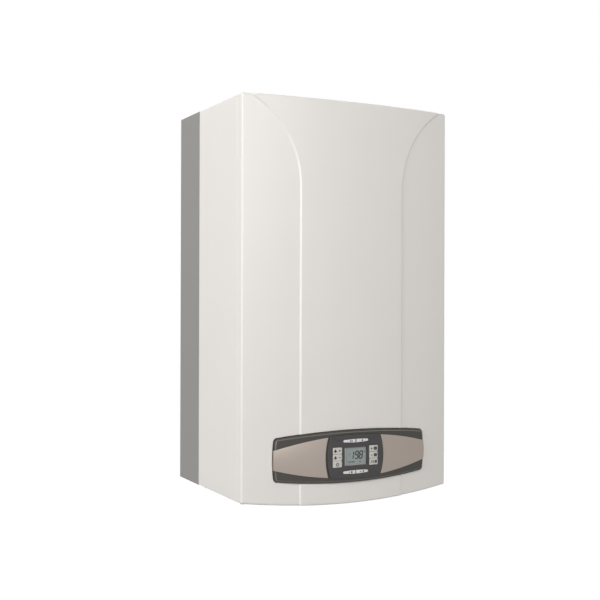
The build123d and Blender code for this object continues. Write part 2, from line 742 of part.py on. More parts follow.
def strip_outline(side, level, gap):
    """Slim key above (1) or below (-1) the display, thinner towards its outer end."""
    inner = STRIP_SPLIT / 2 - gap
    outer = STRIP_SPLIT / 2 + STRIP_LENGTH + gap
    inner_half = STRIP_THICKNESS / 2 + gap
    outer_half = STRIP_END_THICKNESS / 2 + gap
    turn = outer - outer_half
    edges = [
        Line((side * inner, -inner_half), (side * inner, inner_half)),
        Line((side * inner, inner_half), (side * turn, outer_half)),
        ThreePointArc((side * turn, outer_half), (side * outer, 0), (side * turn, -outer_half)),
        Line((side * turn, -outer_half), (side * inner, -inner_half)),
    ]
    return Pos(0, PANEL_Z + level * STRIP_HEIGHT_ABOVE) * make_face(edges)


# Casing that slides off forwards

def front_panel():
    """Bowed front with a raised middle, folded sides, and an opening for the controls."""
    span = (BASE, TOP)
    depth = (SIDE_FRONT, CORNER_DEPTH + FRONT_BULGE + FIELD_RAISE)
    outside = case_block(SIDE_FRONT, 0, span) & wall_slab(front_outline(0), depth)
    raised = case_block(CORNER_DEPTH, FIELD_RAISE, span) & wall_slab(field_outline(0), depth)
    outside += raised & wall_slab(front_outline(0), depth)
    inside = case_block(SIDE_FRONT, -SHEET, span) & wall_slab(front_outline(SHEET), depth)
    dish = case_block(CORNER_DEPTH, FIELD_RAISE - SHEET, span)
    dish &= wall_slab(field_outline(SHEET), depth)
    inside += dish & wall_slab(front_outline(SHEET), depth)
    panel = outside - inside
    panel -= wall_slab(bezel_outline(PANEL_GAP), depth)
    for start, direction in cover_screw_points():
        panel -= rod(start, direction, SCREW_R + FIT, SCREW_LENGTH)
    return panel


def cover_screw_points():
    """Start and direction of each screw that joins the front to the side panels' rims."""
    depth = SIDE_FRONT + LIP_REACH / 2
    x = HALF - CASE_RIM / 2
    low = lip_z(x - SCREW_HEAD_R, 0) - FIT
    points = []
    for side in SIDES:
        points.append((at(side * x, depth, TOP + FIT), DOWN))
        points.append((at(side * x, depth, low), UP))
    return points


def cover_screws():
    """Four pan-headed screws with their heads outside the rims."""
    screws = []
    for start, direction in cover_screw_points():
        shank = rod(start, direction, SCREW_R, SCREW_LENGTH)
        outwards = tuple(-part for part in direction)
        screws.append(shank + rod(start, outwards, SCREW_HEAD_R, SCREW_HEAD_HEIGHT))
    return Compound(children=screws)


def side_panel(side):
    """Side of the casing: plate, rims, rear fold and the lip behind the front's return."""
    rear = FRAME_DEPTH + SEAM
    front = SIDE_FRONT - SEAM
    depth = (rear, front)
    skin = beside(side, HALF - SHEET, HALF)
    rim = beside(side, HALF - CASE_RIM, HALF)
    panel = block(skin, depth, (CORNER_BASE, TOP))
    panel += block(rim, depth, (TOP - SHEET, TOP))
    panel += block(rim, depth, (CORNER_BASE, CORNER_BASE + SHEET))
    fold = beside(side, HALF - REAR_FOLD, HALF)
    panel += block(fold, (rear, rear + SHEET), (CORNER_BASE + TAB_CLEAR, TOP - TAB_CLEAR))
    root = (front - LIP_ROOT, front)
    reach = (front - LIP_ROOT, front + SEAM + LIP_REACH)
    step = SHEET + FIT
    upright = (CORNER_BASE + step + SHEET, TOP - step - SHEET)
    panel += block(beside(side, HALF - step - SHEET, HALF - SHEET), root, upright)
    panel += block(beside(side, HALF - step - SHEET, HALF - step), reach, upright)
    across = beside(side, HALF - CASE_RIM, HALF - step)
    lower = CORNER_BASE + SHEET
    panel += block(across, root, (TOP - step - SHEET, TOP - SHEET))
    panel += block(across, reach, (TOP - step - SHEET, TOP - step))
    panel += block(across, root, (lower, lower + FIT + SHEET))
    panel += block(across, reach, (lower + FIT, lower + FIT + SHEET))
    slot_end = FRAME_DEPTH + CLAMP_FORWARD
    slot_width = around(side * clamp_x(), CLAMP_R + MOVE)
    panel -= block(slot_width, (rear, slot_end), around(CORNER_BASE, 2 * SHEET))
    panel -= rod(at(side * clamp_x(), slot_end, CORNER_BASE - SHEET), UP, CLAMP_R + MOVE, 3 * SHEET)
    for start, direction in cover_screw_points():
        panel -= rod(start, direction, SCREW_R + RUN, SCREW_LENGTH)
    return panel


def clamp_x():
    """X of the clamp screws that hold the casing's lower rims to the frame."""
    return HALF - FRAME_SHEET - TAB_GAP - TAB_WIDTH / 2


# Frame, brackets and fixings

def rear_frame():
    """Tray against the wall with hanging holes, front lips and tabs for the casing."""
    inner = HALF - FRAME_SHEET
    frame = block(both(HALF), (0, FRAME_DEPTH), (CORNER_BASE, TOP))
    frame -= block(both(inner), (FRAME_SHEET, FRAME_DEPTH), (CORNER_BASE + FRAME_SHEET, TOP - FRAME_SHEET))
    gap = HALF - FRAME_RIM
    frame -= block(both(gap), (CHAMBER_BACK - CHAMBER_WINDOW, FRAME_DEPTH), (TOP - FRAME_RIM, TOP))
    frame -= block(both(gap), (FRAME_RIM, FRAME_DEPTH), (CORNER_BASE, CORNER_BASE + FRAME_RIM))
    lip = (FRAME_DEPTH - FRAME_SHEET, FRAME_DEPTH)
    root = FRAME_DEPTH - TAB_ROOT
    low = CORNER_BASE + FRAME_SHEET
    high = TOP - FRAME_SHEET
    for side in SIDES:
        frame += block(beside(side, HALF - FRAME_LIP, HALF), lip, (CORNER_BASE + TAB_CLEAR, TOP - TAB_CLEAR))
        tab = around(side * clamp_x(), TAB_WIDTH / 2)
        frame += block(tab, (root, FRAME_DEPTH + TAB_REACH), (low, low + FRAME_SHEET))
        frame += block(tab, (root, FRAME_DEPTH + TAB_REACH), (high - FRAME_SHEET, high))
        frame += rod(clamp_point(side, low), UP, TAB_BOSS_R, FRAME_SHEET + TAB_BOSS_HEIGHT)
        frame -= rod(clamp_point(side, low), UP, CLAMP_R + RUN, FRAME_SHEET + TAB_BOSS_HEIGHT)
        frame -= rod(at(side * HANG_SPACING / 2, 0, 0), FORWARD, HANG_HOLE_R, FRAME_SHEET)
    return frame


def clamp_point(side, z):
    """Point on a clamp screw's axis."""
    return at(side * clamp_x(), FRAME_DEPTH + CLAMP_FORWARD, z)


def lid_screw_points():
    """Screws round the chamber lid: three up each side."""
    x = CHAMBER_HALF + CHAMBER_FLANGE / 2
    lid_back = CHAMBER_FRONT + SEAL_THICKNESS + FIT
    middle = (CHAMBER_TOP + CHAMBER_BOTTOM) / 2
    reach = CHAMBER_HEIGHT / 2 - EAR_INSET
    return [at(side * x, lid_back, middle + row * reach) for side in SIDES for row in (-1, 0, 1)]


def arm_screw_points():
    """Screws that hold the control box's arms to the pipe bracket."""
    depth = PLATE_DEPTH - ARM_OVERLAP / 2
    return [at(side * (BOX_HALF_X - ARM_WIDTH / 2), depth, PLATE_TOP) for side in SIDES]


def chassis_screws():
    """Casing clamp screws, chamber lid screws and control box arm screws."""
    screws = []
    for side in SIDES:
        start = clamp_point(side, CORNER_BASE - FIT)
        shank = rod(start, UP, CLAMP_R, CLAMP_LENGTH)
        screws.append(shank + rod(start, DOWN, CLAMP_HEAD_R, CLAMP_HEAD_HEIGHT))
    for point in lid_screw_points():
        head_start = (point[0], point[1] - CHAMBER_SHEET - FIT, point[2])
        shank = rod(head_start, BACKWARD, SCREW_R, SCREW_LENGTH)
        screws.append(shank + rod(head_start, FORWARD, SCREW_HEAD_R, SCREW_HEAD_HEIGHT))
    for point in arm_screw_points():
        head_start = (point[0], point[1], point[2] + 2 * FIT + ARM_THICKNESS)
        shank = rod(head_start, DOWN, SCREW_R, ARM_THICKNESS + SCREW_LENGTH)
        screws.append(shank + rod(head_start, UP, SCREW_HEAD_R, SCREW_HEAD_HEIGHT))
    return Compound(children=screws)


def stub_sizes():
    """The five connections from left to right: X, thread radius and bore radius."""
    wide = (WIDE_STUB_R, WIDE_BORE_R)
    narrow = (NARROW_STUB_R, NARROW_BORE_R)
    kinds = (wide, narrow, wide, narrow, wide)
    return [((place - 2) * STUB_PITCH, *kind) for place, kind in enumerate(kinds)]


def pipe_bracket():
    """Shelf across the frame that carries the hydraulics and passes the connections."""
    half = HALF - FRAME_SHEET - FIT
    back = FRAME_SHEET + FIT
    plate = block(both(half), (back, FRAME_DEPTH - FRAME_SHEET - FIT), (PLATE_BOTTOM, PLATE_TOP))
    plate += block(both(half - FRAME_LIP), (back, PLATE_DEPTH), (PLATE_BOTTOM, PLATE_TOP))
    for side in SIDES:
        flange = beside(side, half - PLATE_THICKNESS, half)
        depth = (back, FRAME_DEPTH - FRAME_SHEET - FIT)
        plate += block(flange, depth, (PLATE_BOTTOM, PLATE_TOP + PLATE_FLANGE))
        plate -= rod(at(side * TAP_X, TAP_DEPTH, PLATE_BOTTOM), UP, TAP_BOSS_R + FIT, PLATE_THICKNESS)
    for x, thread, _ in stub_sizes():
        plate -= rod(at(x, STUB_DEPTH, PLATE_BOTTOM), UP, thread + FIT, PLATE_THICKNESS)
    plate -= rod(at(GAUGE_X, GAUGE_DEPTH, PLATE_BOTTOM), UP, GAUGE_NECK_R + FIT, PLATE_THICKNESS)
    drain = safety_outlet_point(PLATE_BOTTOM)
    plate -= rod(drain, UP, SAFETY_OUTLET_R + FIT, PLATE_THICKNESS)
    for x, y, z in arm_screw_points():
        plate -= rod((x, y, PLATE_BOTTOM), UP, SCREW_R + RUN, PLATE_THICKNESS)
    return plate


def connection_stubs():
    """Threaded brass ends for heating flow, hot water, gas, cold water and return."""
    stubs = []
    for x, thread, bore in stub_sizes():
        end = BASE + STUB_END
        length = PLATE_TOP - end
        stub = rod(at(x, STUB_DEPTH, end), UP, thread, length)
        collar = BASE + STUB_END + STUB_THREAD_LENGTH
        stub += rod(at(x, STUB_DEPTH, collar), UP, thread + STUB_COLLAR, PLATE_BOTTOM - FIT - collar)
        stubs.append(stub - rod(at(x, STUB_DEPTH, end), UP, bore, length))
    return Compound(children=stubs)


# Hydraulics

def block_x(side):
    """X range of the left or right hydraulic block over its two connections."""
    return beside(side, STUB_PITCH - BLOCK_MARGIN, 2 * STUB_PITCH + BLOCK_MARGIN)


def tap_gland(side):
    """Boss that carries a tap's shaft down through the pipe bracket."""
    low = PLATE_BOTTOM - TAP_BOSS_LENGTH
    boss = rod(at(side * TAP_X, TAP_DEPTH, low), UP, TAP_BOSS_R, BLOCK_BASE - low)
    return boss, rod(at(side * TAP_X, TAP_DEPTH, low), UP, TAP_SHAFT_R + RUN, TAP_SHAFT_LENGTH + MOVE)


def flow_block():
    """Left block: heating flow and hot water, with the diverter valve's boss on top."""
    body = block(block_x(-1), (BLOCK_BACK, BLOCK_FRONT), (BLOCK_BASE, BLOCK_TOP))
    body += rod(at(DIVERTER_X, STUB_DEPTH, BLOCK_TOP), UP, BOSS_R, BOSS_HEIGHT)
    boss, bore = tap_gland(-1)
    body += boss
    body -= bore
    half_height = BLOCK_HEIGHT / 2
    seat = at(DIVERTER_X, STUB_DEPTH, BLOCK_BASE + half_height)
    body -= rod(at(DIVERTER_X, STUB_DEPTH, BLOCK_BASE), UP, VALVE_SEAT_R, half_height)
    body -= rod(seat, UP, DIVERTER_BORE_R, half_height + BOSS_HEIGHT / 2)
    body -= rod(at(DIVERTER_X, STUB_DEPTH, BLOCK_TOP), UP, SPINDLE_R + RUN, BOSS_HEIGHT)
    body -= rod(at(-STUB_PITCH, STUB_DEPTH, BLOCK_BASE), UP, NARROW_BORE_R, half_height)
    return body


def diverter_spindle():
    """Valve disc on a long rod that the actuator lifts."""
    start = BLOCK_BASE + BLOCK_HEIGHT / 2 + MOVE
    disc = rod(at(DIVERTER_X, STUB_DEPTH, start), UP, VALVE_DISC_R, VALVE_DISC_THICKNESS)
    return disc + rod(at(DIVERTER_X, STUB_DEPTH, start), UP, SPINDLE_R, SPINDLE_LENGTH)


def diverter_actuator():
    """Motor box on the boss, with a socket that the spindle rises into."""
    base = BLOCK_TOP + BOSS_HEIGHT + FIT
    half = ACTUATOR_WIDTH / 2
    box = block(around(DIVERTER_X, half), around(STUB_DEPTH, half), (base, base + ACTUATOR_HEIGHT))
    box = fillet(box.edges().filter_by(Axis.Z), ACTUATOR_CORNER_R)
    face = STUB_DEPTH + half
    plug_z = (base + ACTUATOR_PLUG_ABOVE, base + half)
    box += block(around(DIVERTER_X, half / 2), (face, face + ACTUATOR_PLUG), plug_z)
    box -= rod(at(DIVERTER_X, STUB_DEPTH, base), UP, SPINDLE_R + RUN, ACTUATOR_SOCKET)
    return box


def return_block():
    """Right block: cold inlet with the flow turbine's bore, and heating return."""
    body = block(block_x(1), (BLOCK_BACK, BLOCK_FRONT), (BLOCK_BASE, BLOCK_TOP))
    boss, bore = tap_gland(1)
    body += boss
    body -= bore
    turbine = at(TURBINE_X, STUB_DEPTH, BLOCK_BASE)
    body -= rod(turbine, UP, TURBINE_BORE_R, BLOCK_HEIGHT - TURBINE_ROOF)
    body -= rod(turbine, UP, TURBINE_AXLE_R + RUN, BLOCK_HEIGHT - AXLE_ROOF)
    body -= rod(at(2 * STUB_PITCH, STUB_DEPTH, BLOCK_BASE), UP, WIDE_BORE_R, BLOCK_HEIGHT / 2)
    body -= rod(at(PUMP_X, PUMP_DEPTH, BLOCK_TOP - BLOCK_HEIGHT / 2), UP, PUMP_PORT_BORE_R, BLOCK_HEIGHT / 2)
    return body


def flow_turbine():
    """Small vaned wheel that measures the cold water flow."""
    start = BLOCK_BASE + TURBINE_ABOVE
    wheel = rod(at(TURBINE_X, STUB_DEPTH, start), UP, TURBINE_HUB_R, TURBINE_HEIGHT)
    axle_top = BLOCK_TOP - AXLE_ROOF - MOVE
    wheel += rod(at(TURBINE_X, STUB_DEPTH, start), UP, TURBINE_AXLE_R, axle_top - start)
    centre = Pos(TURBINE_X, -STUB_DEPTH, start + TURBINE_HEIGHT / 2)
    for turn in range(TURBINE_BLADES):
        blade = Pos(TURBINE_R / 2, 0, 0) * Box(TURBINE_R, TURBINE_BLADE_THICKNESS, TURBINE_HEIGHT)
        wheel += centre * Rot(0, 0, turn * 360 / TURBINE_BLADES) * blade
    return wheel


def lobed_knob(start, direction, radius, length):
    """Knob with rounded lobes that starts at a point and runs along a direction."""
    knob = Cylinder(KNOB_CORE_SHARE * radius, length, align=FROM_START)
    spot = KNOB_LOBE_SHARE * radius
    lobe = Cylinder(radius - spot, length, align=FROM_START)
    for turn in range(KNOB_LOBES):
        angle = turn * 2 * pi / KNOB_LOBES
        knob += Pos(spot * cos(angle), spot * sin(angle), 0) * lobe
    return Plane(origin=start, z_dir=direction) * knob


def tap_knob(side, radius, height):
    """Lobed knob below the pipe bracket with its shaft up in the gland."""
    top = at(side * TAP_X, TAP_DEPTH, PLATE_BOTTOM - TAP_BOSS_LENGTH - MOVE)
    return lobed_knob(top, DOWN, radius, height) + rod(top, UP, TAP_SHAFT_R, TAP_SHAFT_LENGTH)


def safety_outlet_point(z):
    """Point on the safety valve's outlet axis."""
    return at(SAFETY_X, BLOCK_FRONT + FIT + SAFETY_LENGTH / 2, z)


def safety_valve():
    """Pressure relief valve on the left block, with its outlet down through the bracket."""
    z = BLOCK_BASE + SAFETY_ABOVE
    start = BLOCK_FRONT + FIT
    body = rod(at(SAFETY_X, start, z), FORWARD, SAFETY_R, SAFETY_LENGTH)
    body += rod(at(SAFETY_X, start + SAFETY_LENGTH, z), FORWARD, SAFETY_STEM_R, SAFETY_STEM_LENGTH)
    body += rod(safety_outlet_point(z), DOWN, SAFETY_OUTLET_R, SAFETY_OUTLET_DROP)
    body -= rod(safety_outlet_point(z), DOWN, SAFETY_OUTLET_BORE_R, SAFETY_OUTLET_DROP)
    return body


def safety_knob():
    """Knob that is turned to lift the safety valve."""
    start = at(SAFETY_X, BLOCK_FRONT + FIT + SAFETY_LENGTH + MOVE, BLOCK_BASE + SAFETY_ABOVE)
    knob = lobed_knob(start, FORWARD, SAFETY_KNOB_R, SAFETY_KNOB_LENGTH)
    return knob - rod(start, FORWARD, SAFETY_STEM_R + RUN, SAFETY_STEM_LENGTH)


def plate_heat_exchanger():
    """Brazed stack of plates with channels between them, and four ports on its front."""
    front = BLOCK_BACK - FIT - PHE_PORT_LENGTH
    base = BLOCK_BASE + PHE_ABOVE
    height = (base, base + PHE_HEIGHT)
    core_height = (height[0] + PHE_SKIRT, height[1] - PHE_SKIRT)
    stack = block(both(PHE_HALF_X - PHE_SKIRT), (PHE_BACK, front), core_height)
    pitch = (front - PHE_BACK) / PHE_PLATES
    inset = PHE_SKIRT + PHE_RIM
    channel_height = (height[0] + inset, height[1] - inset)
    for plate in range(PHE_PLATES):
        middle = PHE_BACK + (plate + 0.5) * pitch
        stack += block(both(PHE_HALF_X), around(middle, PHE_PLATE_SHARE * pitch / 2), height)
        channel = around(middle, (pitch - PHE_SHEET) / 2)
        stack -= block(both(PHE_HALF_X - inset), channel, channel_height)
    port_z = BLOCK_BASE + BLOCK_HEIGHT - 2 * PHE_PORT_R
    mouth = front + PHE_PORT_LENGTH
    for side in SIDES:
        for offset in PHE_PORT_X:
            x = side * (STUB_PITCH + offset)
            stack += rod(at(x, front, port_z), FORWARD, PHE_PORT_R, PHE_PORT_LENGTH)
            stack -= rod(at(x, mouth, port_z), BACKWARD, PHE_PORT_BORE_R, mouth - PHE_BACK - PHE_SHEET)
    return stack


def pump_body():
    """Circulation pump: volute with its ports, motor can and automatic air vent."""
    back = PUMP_DEPTH - VOLUTE_WIDTH / 2
    cavity = PUMP_DEPTH - CAVITY_WIDTH / 2
    body = rod(at(PUMP_X, back, PUMP_Z), FORWARD, VOLUTE_R, VOLUTE_WIDTH)
    body += rod(at(PUMP_X, back + VOLUTE_WIDTH, PUMP_Z), FORWARD, MOTOR_CAN_R, MOTOR_CAN_LENGTH)
    port_length = VOLUTE_R + PUMP_NECK
    outlet_length = VOLUTE_R + PUMP_OUTLET_LENGTH
    body += rod(at(PUMP_X, PUMP_DEPTH, PUMP_Z), DOWN, PUMP_PORT_R, port_length)
    body += rod(at(PUMP_X, PUMP_DEPTH, PUMP_Z), UP, PUMP_PORT_R, outlet_length)
    body -= rod(at(PUMP_X, cavity, PUMP_Z), FORWARD, CAVITY_R, CAVITY_WIDTH)
    body -= rod(at(PUMP_X, PUMP_DEPTH, PUMP_Z), DOWN, PUMP_PORT_BORE_R, port_length)
    body -= rod(at(PUMP_X, PUMP_DEPTH, PUMP_Z), UP, PUMP_PORT_BORE_R, outlet_length)
    bearing = IMPELLER_SHAFT_LENGTH + MOVE
    body -= rod(impeller_front(), FORWARD, IMPELLER_SHAFT_R + RUN, bearing)
    vent_x = PUMP_X - AIR_VENT_OFFSET
    vent_z = PUMP_Z + sqrt(VOLUTE_R ** 2 - (AIR_VENT_OFFSET - AIR_VENT_R) ** 2) + FIT
    vent = rod(at(vent_x, PUMP_DEPTH, vent_z), UP, AIR_VENT_R, AIR_VENT_HEIGHT)
    vent += rod(at(vent_x, PUMP_DEPTH, vent_z + AIR_VENT_HEIGHT), UP, AIR_VENT_R / 3, AIR_VENT_R / 2)
    return Compound(children=[body, vent])


def impeller_front():
    """Centre of the pump impeller's front face."""
    return at(PUMP_X, PUMP_DEPTH + IMPELLER_WIDTH / 2, PUMP_Z)


def pump_impeller():
    """Closed impeller with its shaft in the motor."""
    wheel = rod(impeller_front(), BACKWARD, IMPELLER_R, IMPELLER_WIDTH)
    wheel -= rod(at(PUMP_X, PUMP_DEPTH, PUMP_Z), BACKWARD, IMPELLER_R / 3, IMPELLER_WIDTH / 2)
    return wheel + rod(impeller_front(), FORWARD, IMPELLER_SHAFT_R, IMPELLER_SHAFT_LENGTH)


def expansion_vessel():
    """Flat round vessel between the wall plate and the sealed chamber, hollow inside."""
    start = at(0, VESSEL_BACK, VESSEL_Z)
    shell = rod(start, FORWARD, VESSEL_R, VESSEL_WIDTH)
    shell = fillet(shell.edges().filter_by(GeomType.CIRCLE), VESSEL_EDGE_R)
    middle = at(0, VESSEL_BACK + (VESSEL_WIDTH - VESSEL_RIM_WIDTH) / 2, VESSEL_Z)
    shell += rod(middle, FORWARD, VESSEL_R + VESSEL_RIM, VESSEL_RIM_WIDTH)
    shell += rod(vessel_port(0), DOWN, VESSEL_PORT_R, VESSEL_PORT_LENGTH + VESSEL_RIM + VESSEL_WALL)
    inner_start = at(0, VESSEL_BACK + VESSEL_WALL, VESSEL_Z)
    inside = rod(inner_start, FORWARD, VESSEL_R - VESSEL_WALL, VESSEL_WIDTH - 2 * VESSEL_WALL)
    inside = fillet(inside.edges().filter_by(GeomType.CIRCLE), VESSEL_EDGE_R - VESSEL_WALL)
    bore_length = VESSEL_PORT_LENGTH + VESSEL_RIM + 3 * VESSEL_WALL
    return shell - inside - rod(vessel_port(VESSEL_WALL), DOWN, VESSEL_PORT_BORE_R, bore_length)


def vessel_port(above):
    """Start of the vessel's lower port, a little above its wall."""
    return at(0, VESSEL_BACK + VESSEL_WIDTH / 2, VESSEL_Z - VESSEL_R + VESSEL_WALL + above)


def water_pipes():
    """Flow and return risers, the vessel's pipe and the gauge's capillary."""
    header_end = EXCHANGER_HALF + HEADER_WIDTH + FIT
    port_z = (EXCHANGER_BASE + EXCHANGER_TOP) / 2
    bend_z = BLOCK_TOP + (CHAMBER_BOTTOM - BLOCK_TOP) / 2
    inner = WATER_PIPE_R - WATER_PIPE_WALL
    flow_x = STUB_PITCH + FLOW_PORT_OFFSET
    flow_depth = STUB_DEPTH + FLOW_PORT_OFFSET
    flow = [
        at(-header_end, RISER_DEPTH, port_z),
        at(-RISER_X, RISER_DEPTH, port_z),
        at(-RISER_X, RISER_DEPTH, bend_z + FLOW_BEND_ABOVE),
        at(-flow_x, flow_depth, bend_z - FLOW_BEND_BELOW),
        at(-flow_x, flow_depth, BLOCK_TOP + FIT),
    ]
    pump_top = PUMP_Z + VOLUTE_R + PUMP_OUTLET_LENGTH + FIT
    back = [
        at(header_end, RISER_DEPTH, port_z),
        at(RISER_X, RISER_DEPTH, port_z),
        at(RISER_X, RISER_DEPTH, CHAMBER_BOTTOM - RETURN_BEND_BELOW),
        at(PUMP_X, PUMP_DEPTH, pump_top + RETURN_BEND_ABOVE),
        at(PUMP_X, PUMP_DEPTH, pump_top),
    ]
    port_end = VESSEL_Z - VESSEL_R - VESSEL_RIM - VESSEL_PORT_LENGTH - FIT
    vessel_depth = VESSEL_BACK + VESSEL_WIDTH / 2
    vessel = [
        at(0, vessel_depth, port_end),
        at(0, vessel_depth, port_end - VESSEL_BEND_HIGH),
        at(VESSEL_PIPE_X, VESSEL_PIPE_DEPTH, port_end - VESSEL_BEND_LOW),
        at(VESSEL_PIPE_X, VESSEL_PIPE_DEPTH, BLOCK_TOP + FIT),
    ]
    neck_end = PLATE_TOP + GAUGE_NECK_LENGTH + FIT
    side = STUB_PITCH - BLOCK_MARGIN - FIT
    capillary = [
        at(GAUGE_X, GAUGE_DEPTH, neck_end),
        at(GAUGE_X, GAUGE_DEPTH, PLATE_TOP + CAPILLARY_ABOVE),
        at(-side, GAUGE_DEPTH, PLATE_TOP + CAPILLARY_ABOVE),
    ]
    tubes = [
        bent_tube(flow, WATER_PIPE_R, inner, WATER_BEND_R),
        bent_tube(back, WATER_PIPE_R, inner, WATER_BEND_R),
        bent_tube(vessel, VESSEL_PIPE_R, VESSEL_PIPE_R - WATER_PIPE_WALL, VESSEL_BEND_R),
        bent_tube(capillary, CAPILLARY_R, CAPILLARY_R / 2, CAPILLARY_BEND_R),
    ]
    return Compound(children=tubes)


# Pressure gauge, read from below

def pressure_gauge():
    """Gauge case with its clip neck, and the clear lens pressed into it."""
    case = rod(at(GAUGE_X, GAUGE_DEPTH, GAUGE_BASE), UP, GAUGE_R, GAUGE_HEIGHT)
    neck_length = PLATE_TOP + GAUGE_NECK_LENGTH - GAUGE_TOP
    case += rod(at(GAUGE_X, GAUGE_DEPTH, GAUGE_TOP), UP, GAUGE_NECK_R, neck_length)
    case -= rod(at(GAUGE_X, GAUGE_DEPTH, GAUGE_BASE), UP, GAUGE_R - GAUGE_WALL, GAUGE_RECESS)
    dial = GAUGE_BASE + GAUGE_RECESS
    case -= rod(at(GAUGE_X, GAUGE_DEPTH, dial), UP, NEEDLE_PIN_R + RUN, NEEDLE_PIN_LENGTH + MOVE)
    lens = rod(at(GAUGE_X, GAUGE_DEPTH, GAUGE_BASE), UP, GAUGE_R - GAUGE_WALL - RUN, GAUGE_LENS_THICKNESS)
    return Compound(children=[case, lens])


def gauge_needle():
    """Needle with its hub and pin, just below the dial."""
    top = GAUGE_BASE + GAUGE_RECESS - MOVE
    needle = rod(at(GAUGE_X, GAUGE_DEPTH, top), DOWN, NEEDLE_HUB_R, NEEDLE_HUB_THICKNESS)
    needle += rod(at(GAUGE_X, GAUGE_DEPTH, top), UP, NEEDLE_PIN_R, NEEDLE_PIN_LENGTH)
    level = (top - NEEDLE_HUB_THICKNESS, top - NEEDLE_HUB_THICKNESS + NEEDLE_THICKNESS)
    pointer = block((-NEEDLE_LENGTH, NEEDLE_TAIL), both(NEEDLE_WIDTH / 2), level)
    return needle + Pos(GAUGE_X, -GAUGE_DEPTH, 0) * Rot(0, 0, NEEDLE_REST_TURN) * pointer


# Sealed chamber and what burns in it

def chamber_span(inset):
    """Z range of the chamber, drawn in by an inset."""
    return (CHAMBER_BOTTOM + inset, CHAMBER_TOP - inset)


def sealed_chamber():
    """Air-tight steel box, open at the front, hung on the frame by four ears."""
    body = block(both(CHAMBER_HALF), (CHAMBER_BACK, CHAMBER_FRONT), chamber_span(0))
    flange = both(CHAMBER_HALF + CHAMBER_FLANGE)
    body += block(flange, (CHAMBER_FRONT - CHAMBER_SHEET, CHAMBER_FRONT), chamber_span(0))
    inner = both(CHAMBER_HALF - CHAMBER_SHEET)
    body -= block(inner, (CHAMBER_BACK + CHAMBER_SHEET, CHAMBER_FRONT), chamber_span(CHAMBER_SHEET))
    ear_front = FRAME_DEPTH - FRAME_SHEET - FIT
    ear_depth = (ear_front - FRAME_SHEET, ear_front)
    for side in SIDES:
        ear = beside(side, CHAMBER_HALF - CHAMBER_SHEET, HALF - FRAME_SHEET - FIT)
        for z in (CHAMBER_TOP - EAR_INSET, CHAMBER_BOTTOM + EAR_INSET):
            body += block(ear, ear_depth, around(z, EAR_HEIGHT / 2))
        riser = at(side * RISER_X, RISER_DEPTH, CHAMBER_BOTTOM)
        body -= rod(riser, UP, WATER_PIPE_R + PIPE_HOLE_GAP, CHAMBER_SHEET)
    body -= rod(at(0, FLUE_DEPTH, CHAMBER_TOP), DOWN, AIR_COLLAR_R - AIR_COLLAR_WALL, CHAMBER_SHEET)
    body -= rod(at(0, MANIFOLD_DEPTH, CHAMBER_BOTTOM), UP, GAS_PIPE_R + PIPE_HOLE_GAP, CHAMBER_SHEET)
    for point in lid_screw_points():
        body -= rod(point, BACKWARD, SCREW_R + RUN, SCREW_LENGTH)
    return body


def lid_seal():
    """Soft seal between the chamber's front edge and its lid."""
    depth = (CHAMBER_FRONT + FIT / 2, CHAMBER_FRONT + FIT / 2 + SEAL_THICKNESS)
    seal = block(both(CHAMBER_HALF + CHAMBER_FLANGE), depth, chamber_span(0))
    seal -= block(both(CHAMBER_HALF + CHAMBER_FLANGE - SEAL_WIDTH), depth, chamber_span(SEAL_WIDTH))
    for point in lid_screw_points():
        seal -= rod(point, BACKWARD, SCREW_R + FIT, SCREW_LENGTH)
    return seal


def chamber_lid():
    """Front of the sealed chamber, held by screws up both sides."""
    back = CHAMBER_FRONT + SEAL_THICKNESS + FIT
    lid = block(both(CHAMBER_HALF + CHAMBER_FLANGE), (back, back + CHAMBER_SHEET), chamber_span(0))
    for point in lid_screw_points():
        lid -= rod(point, FORWARD, SCREW_R + FIT, CHAMBER_SHEET)
    return lid


def bar_places():
    """X of each burner bar's middle."""
    pitch = 2 * (BURNER_HALF - BAR_THICKNESS / 2) / (BURNER_BARS - 1)
    first = -BURNER_HALF + BAR_THICKNESS / 2
    return [first + bar * pitch for bar in range(BURNER_BARS)]


def burner():
    """Row of burner bars between two rails, on four legs."""
    base = BURNER_BASE + BURNER_LEG
    rail_top = base + BURNER_HEIGHT / 2
    rack = block(both(BURNER_HALF), (BURNER_BACK, BURNER_BACK + BURNER_RAIL), (base, rail_top))
    rack += block(both(BURNER_HALF), (BURNER_FRONT - BURNER_RAIL, BURNER_FRONT), (base, rail_top))
    for x in bar_places():
        bar = around(x, BAR_THICKNESS / 2)
        rack += block(bar, (BURNER_BACK, BURNER_FRONT), (base, base + BURNER_HEIGHT))
        rack -= rod(at(x, BURNER_FRONT - BURNER_RAIL, INLET_Z), FORWARD, BURNER_INLET_R, BURNER_RAIL)
        inside = around(x, BAR_THICKNESS / 2 - BAR_SHEET)
        depth = (BURNER_BACK + BURNER_RAIL, BURNER_FRONT - BURNER_RAIL)
        rack -= block(inside, depth, (base + BAR_SHEET, base + BURNER_HEIGHT - BAR_SHEET))
    for side in SIDES:
        leg = beside(side, BURNER_HALF - BAR_THICKNESS, BURNER_HALF)
        for depth in (BURNER_BACK, BURNER_FRONT - BURNER_RAIL):
            rack += block(leg, (depth, depth + BURNER_RAIL), (BURNER_BASE, base))
    return rack


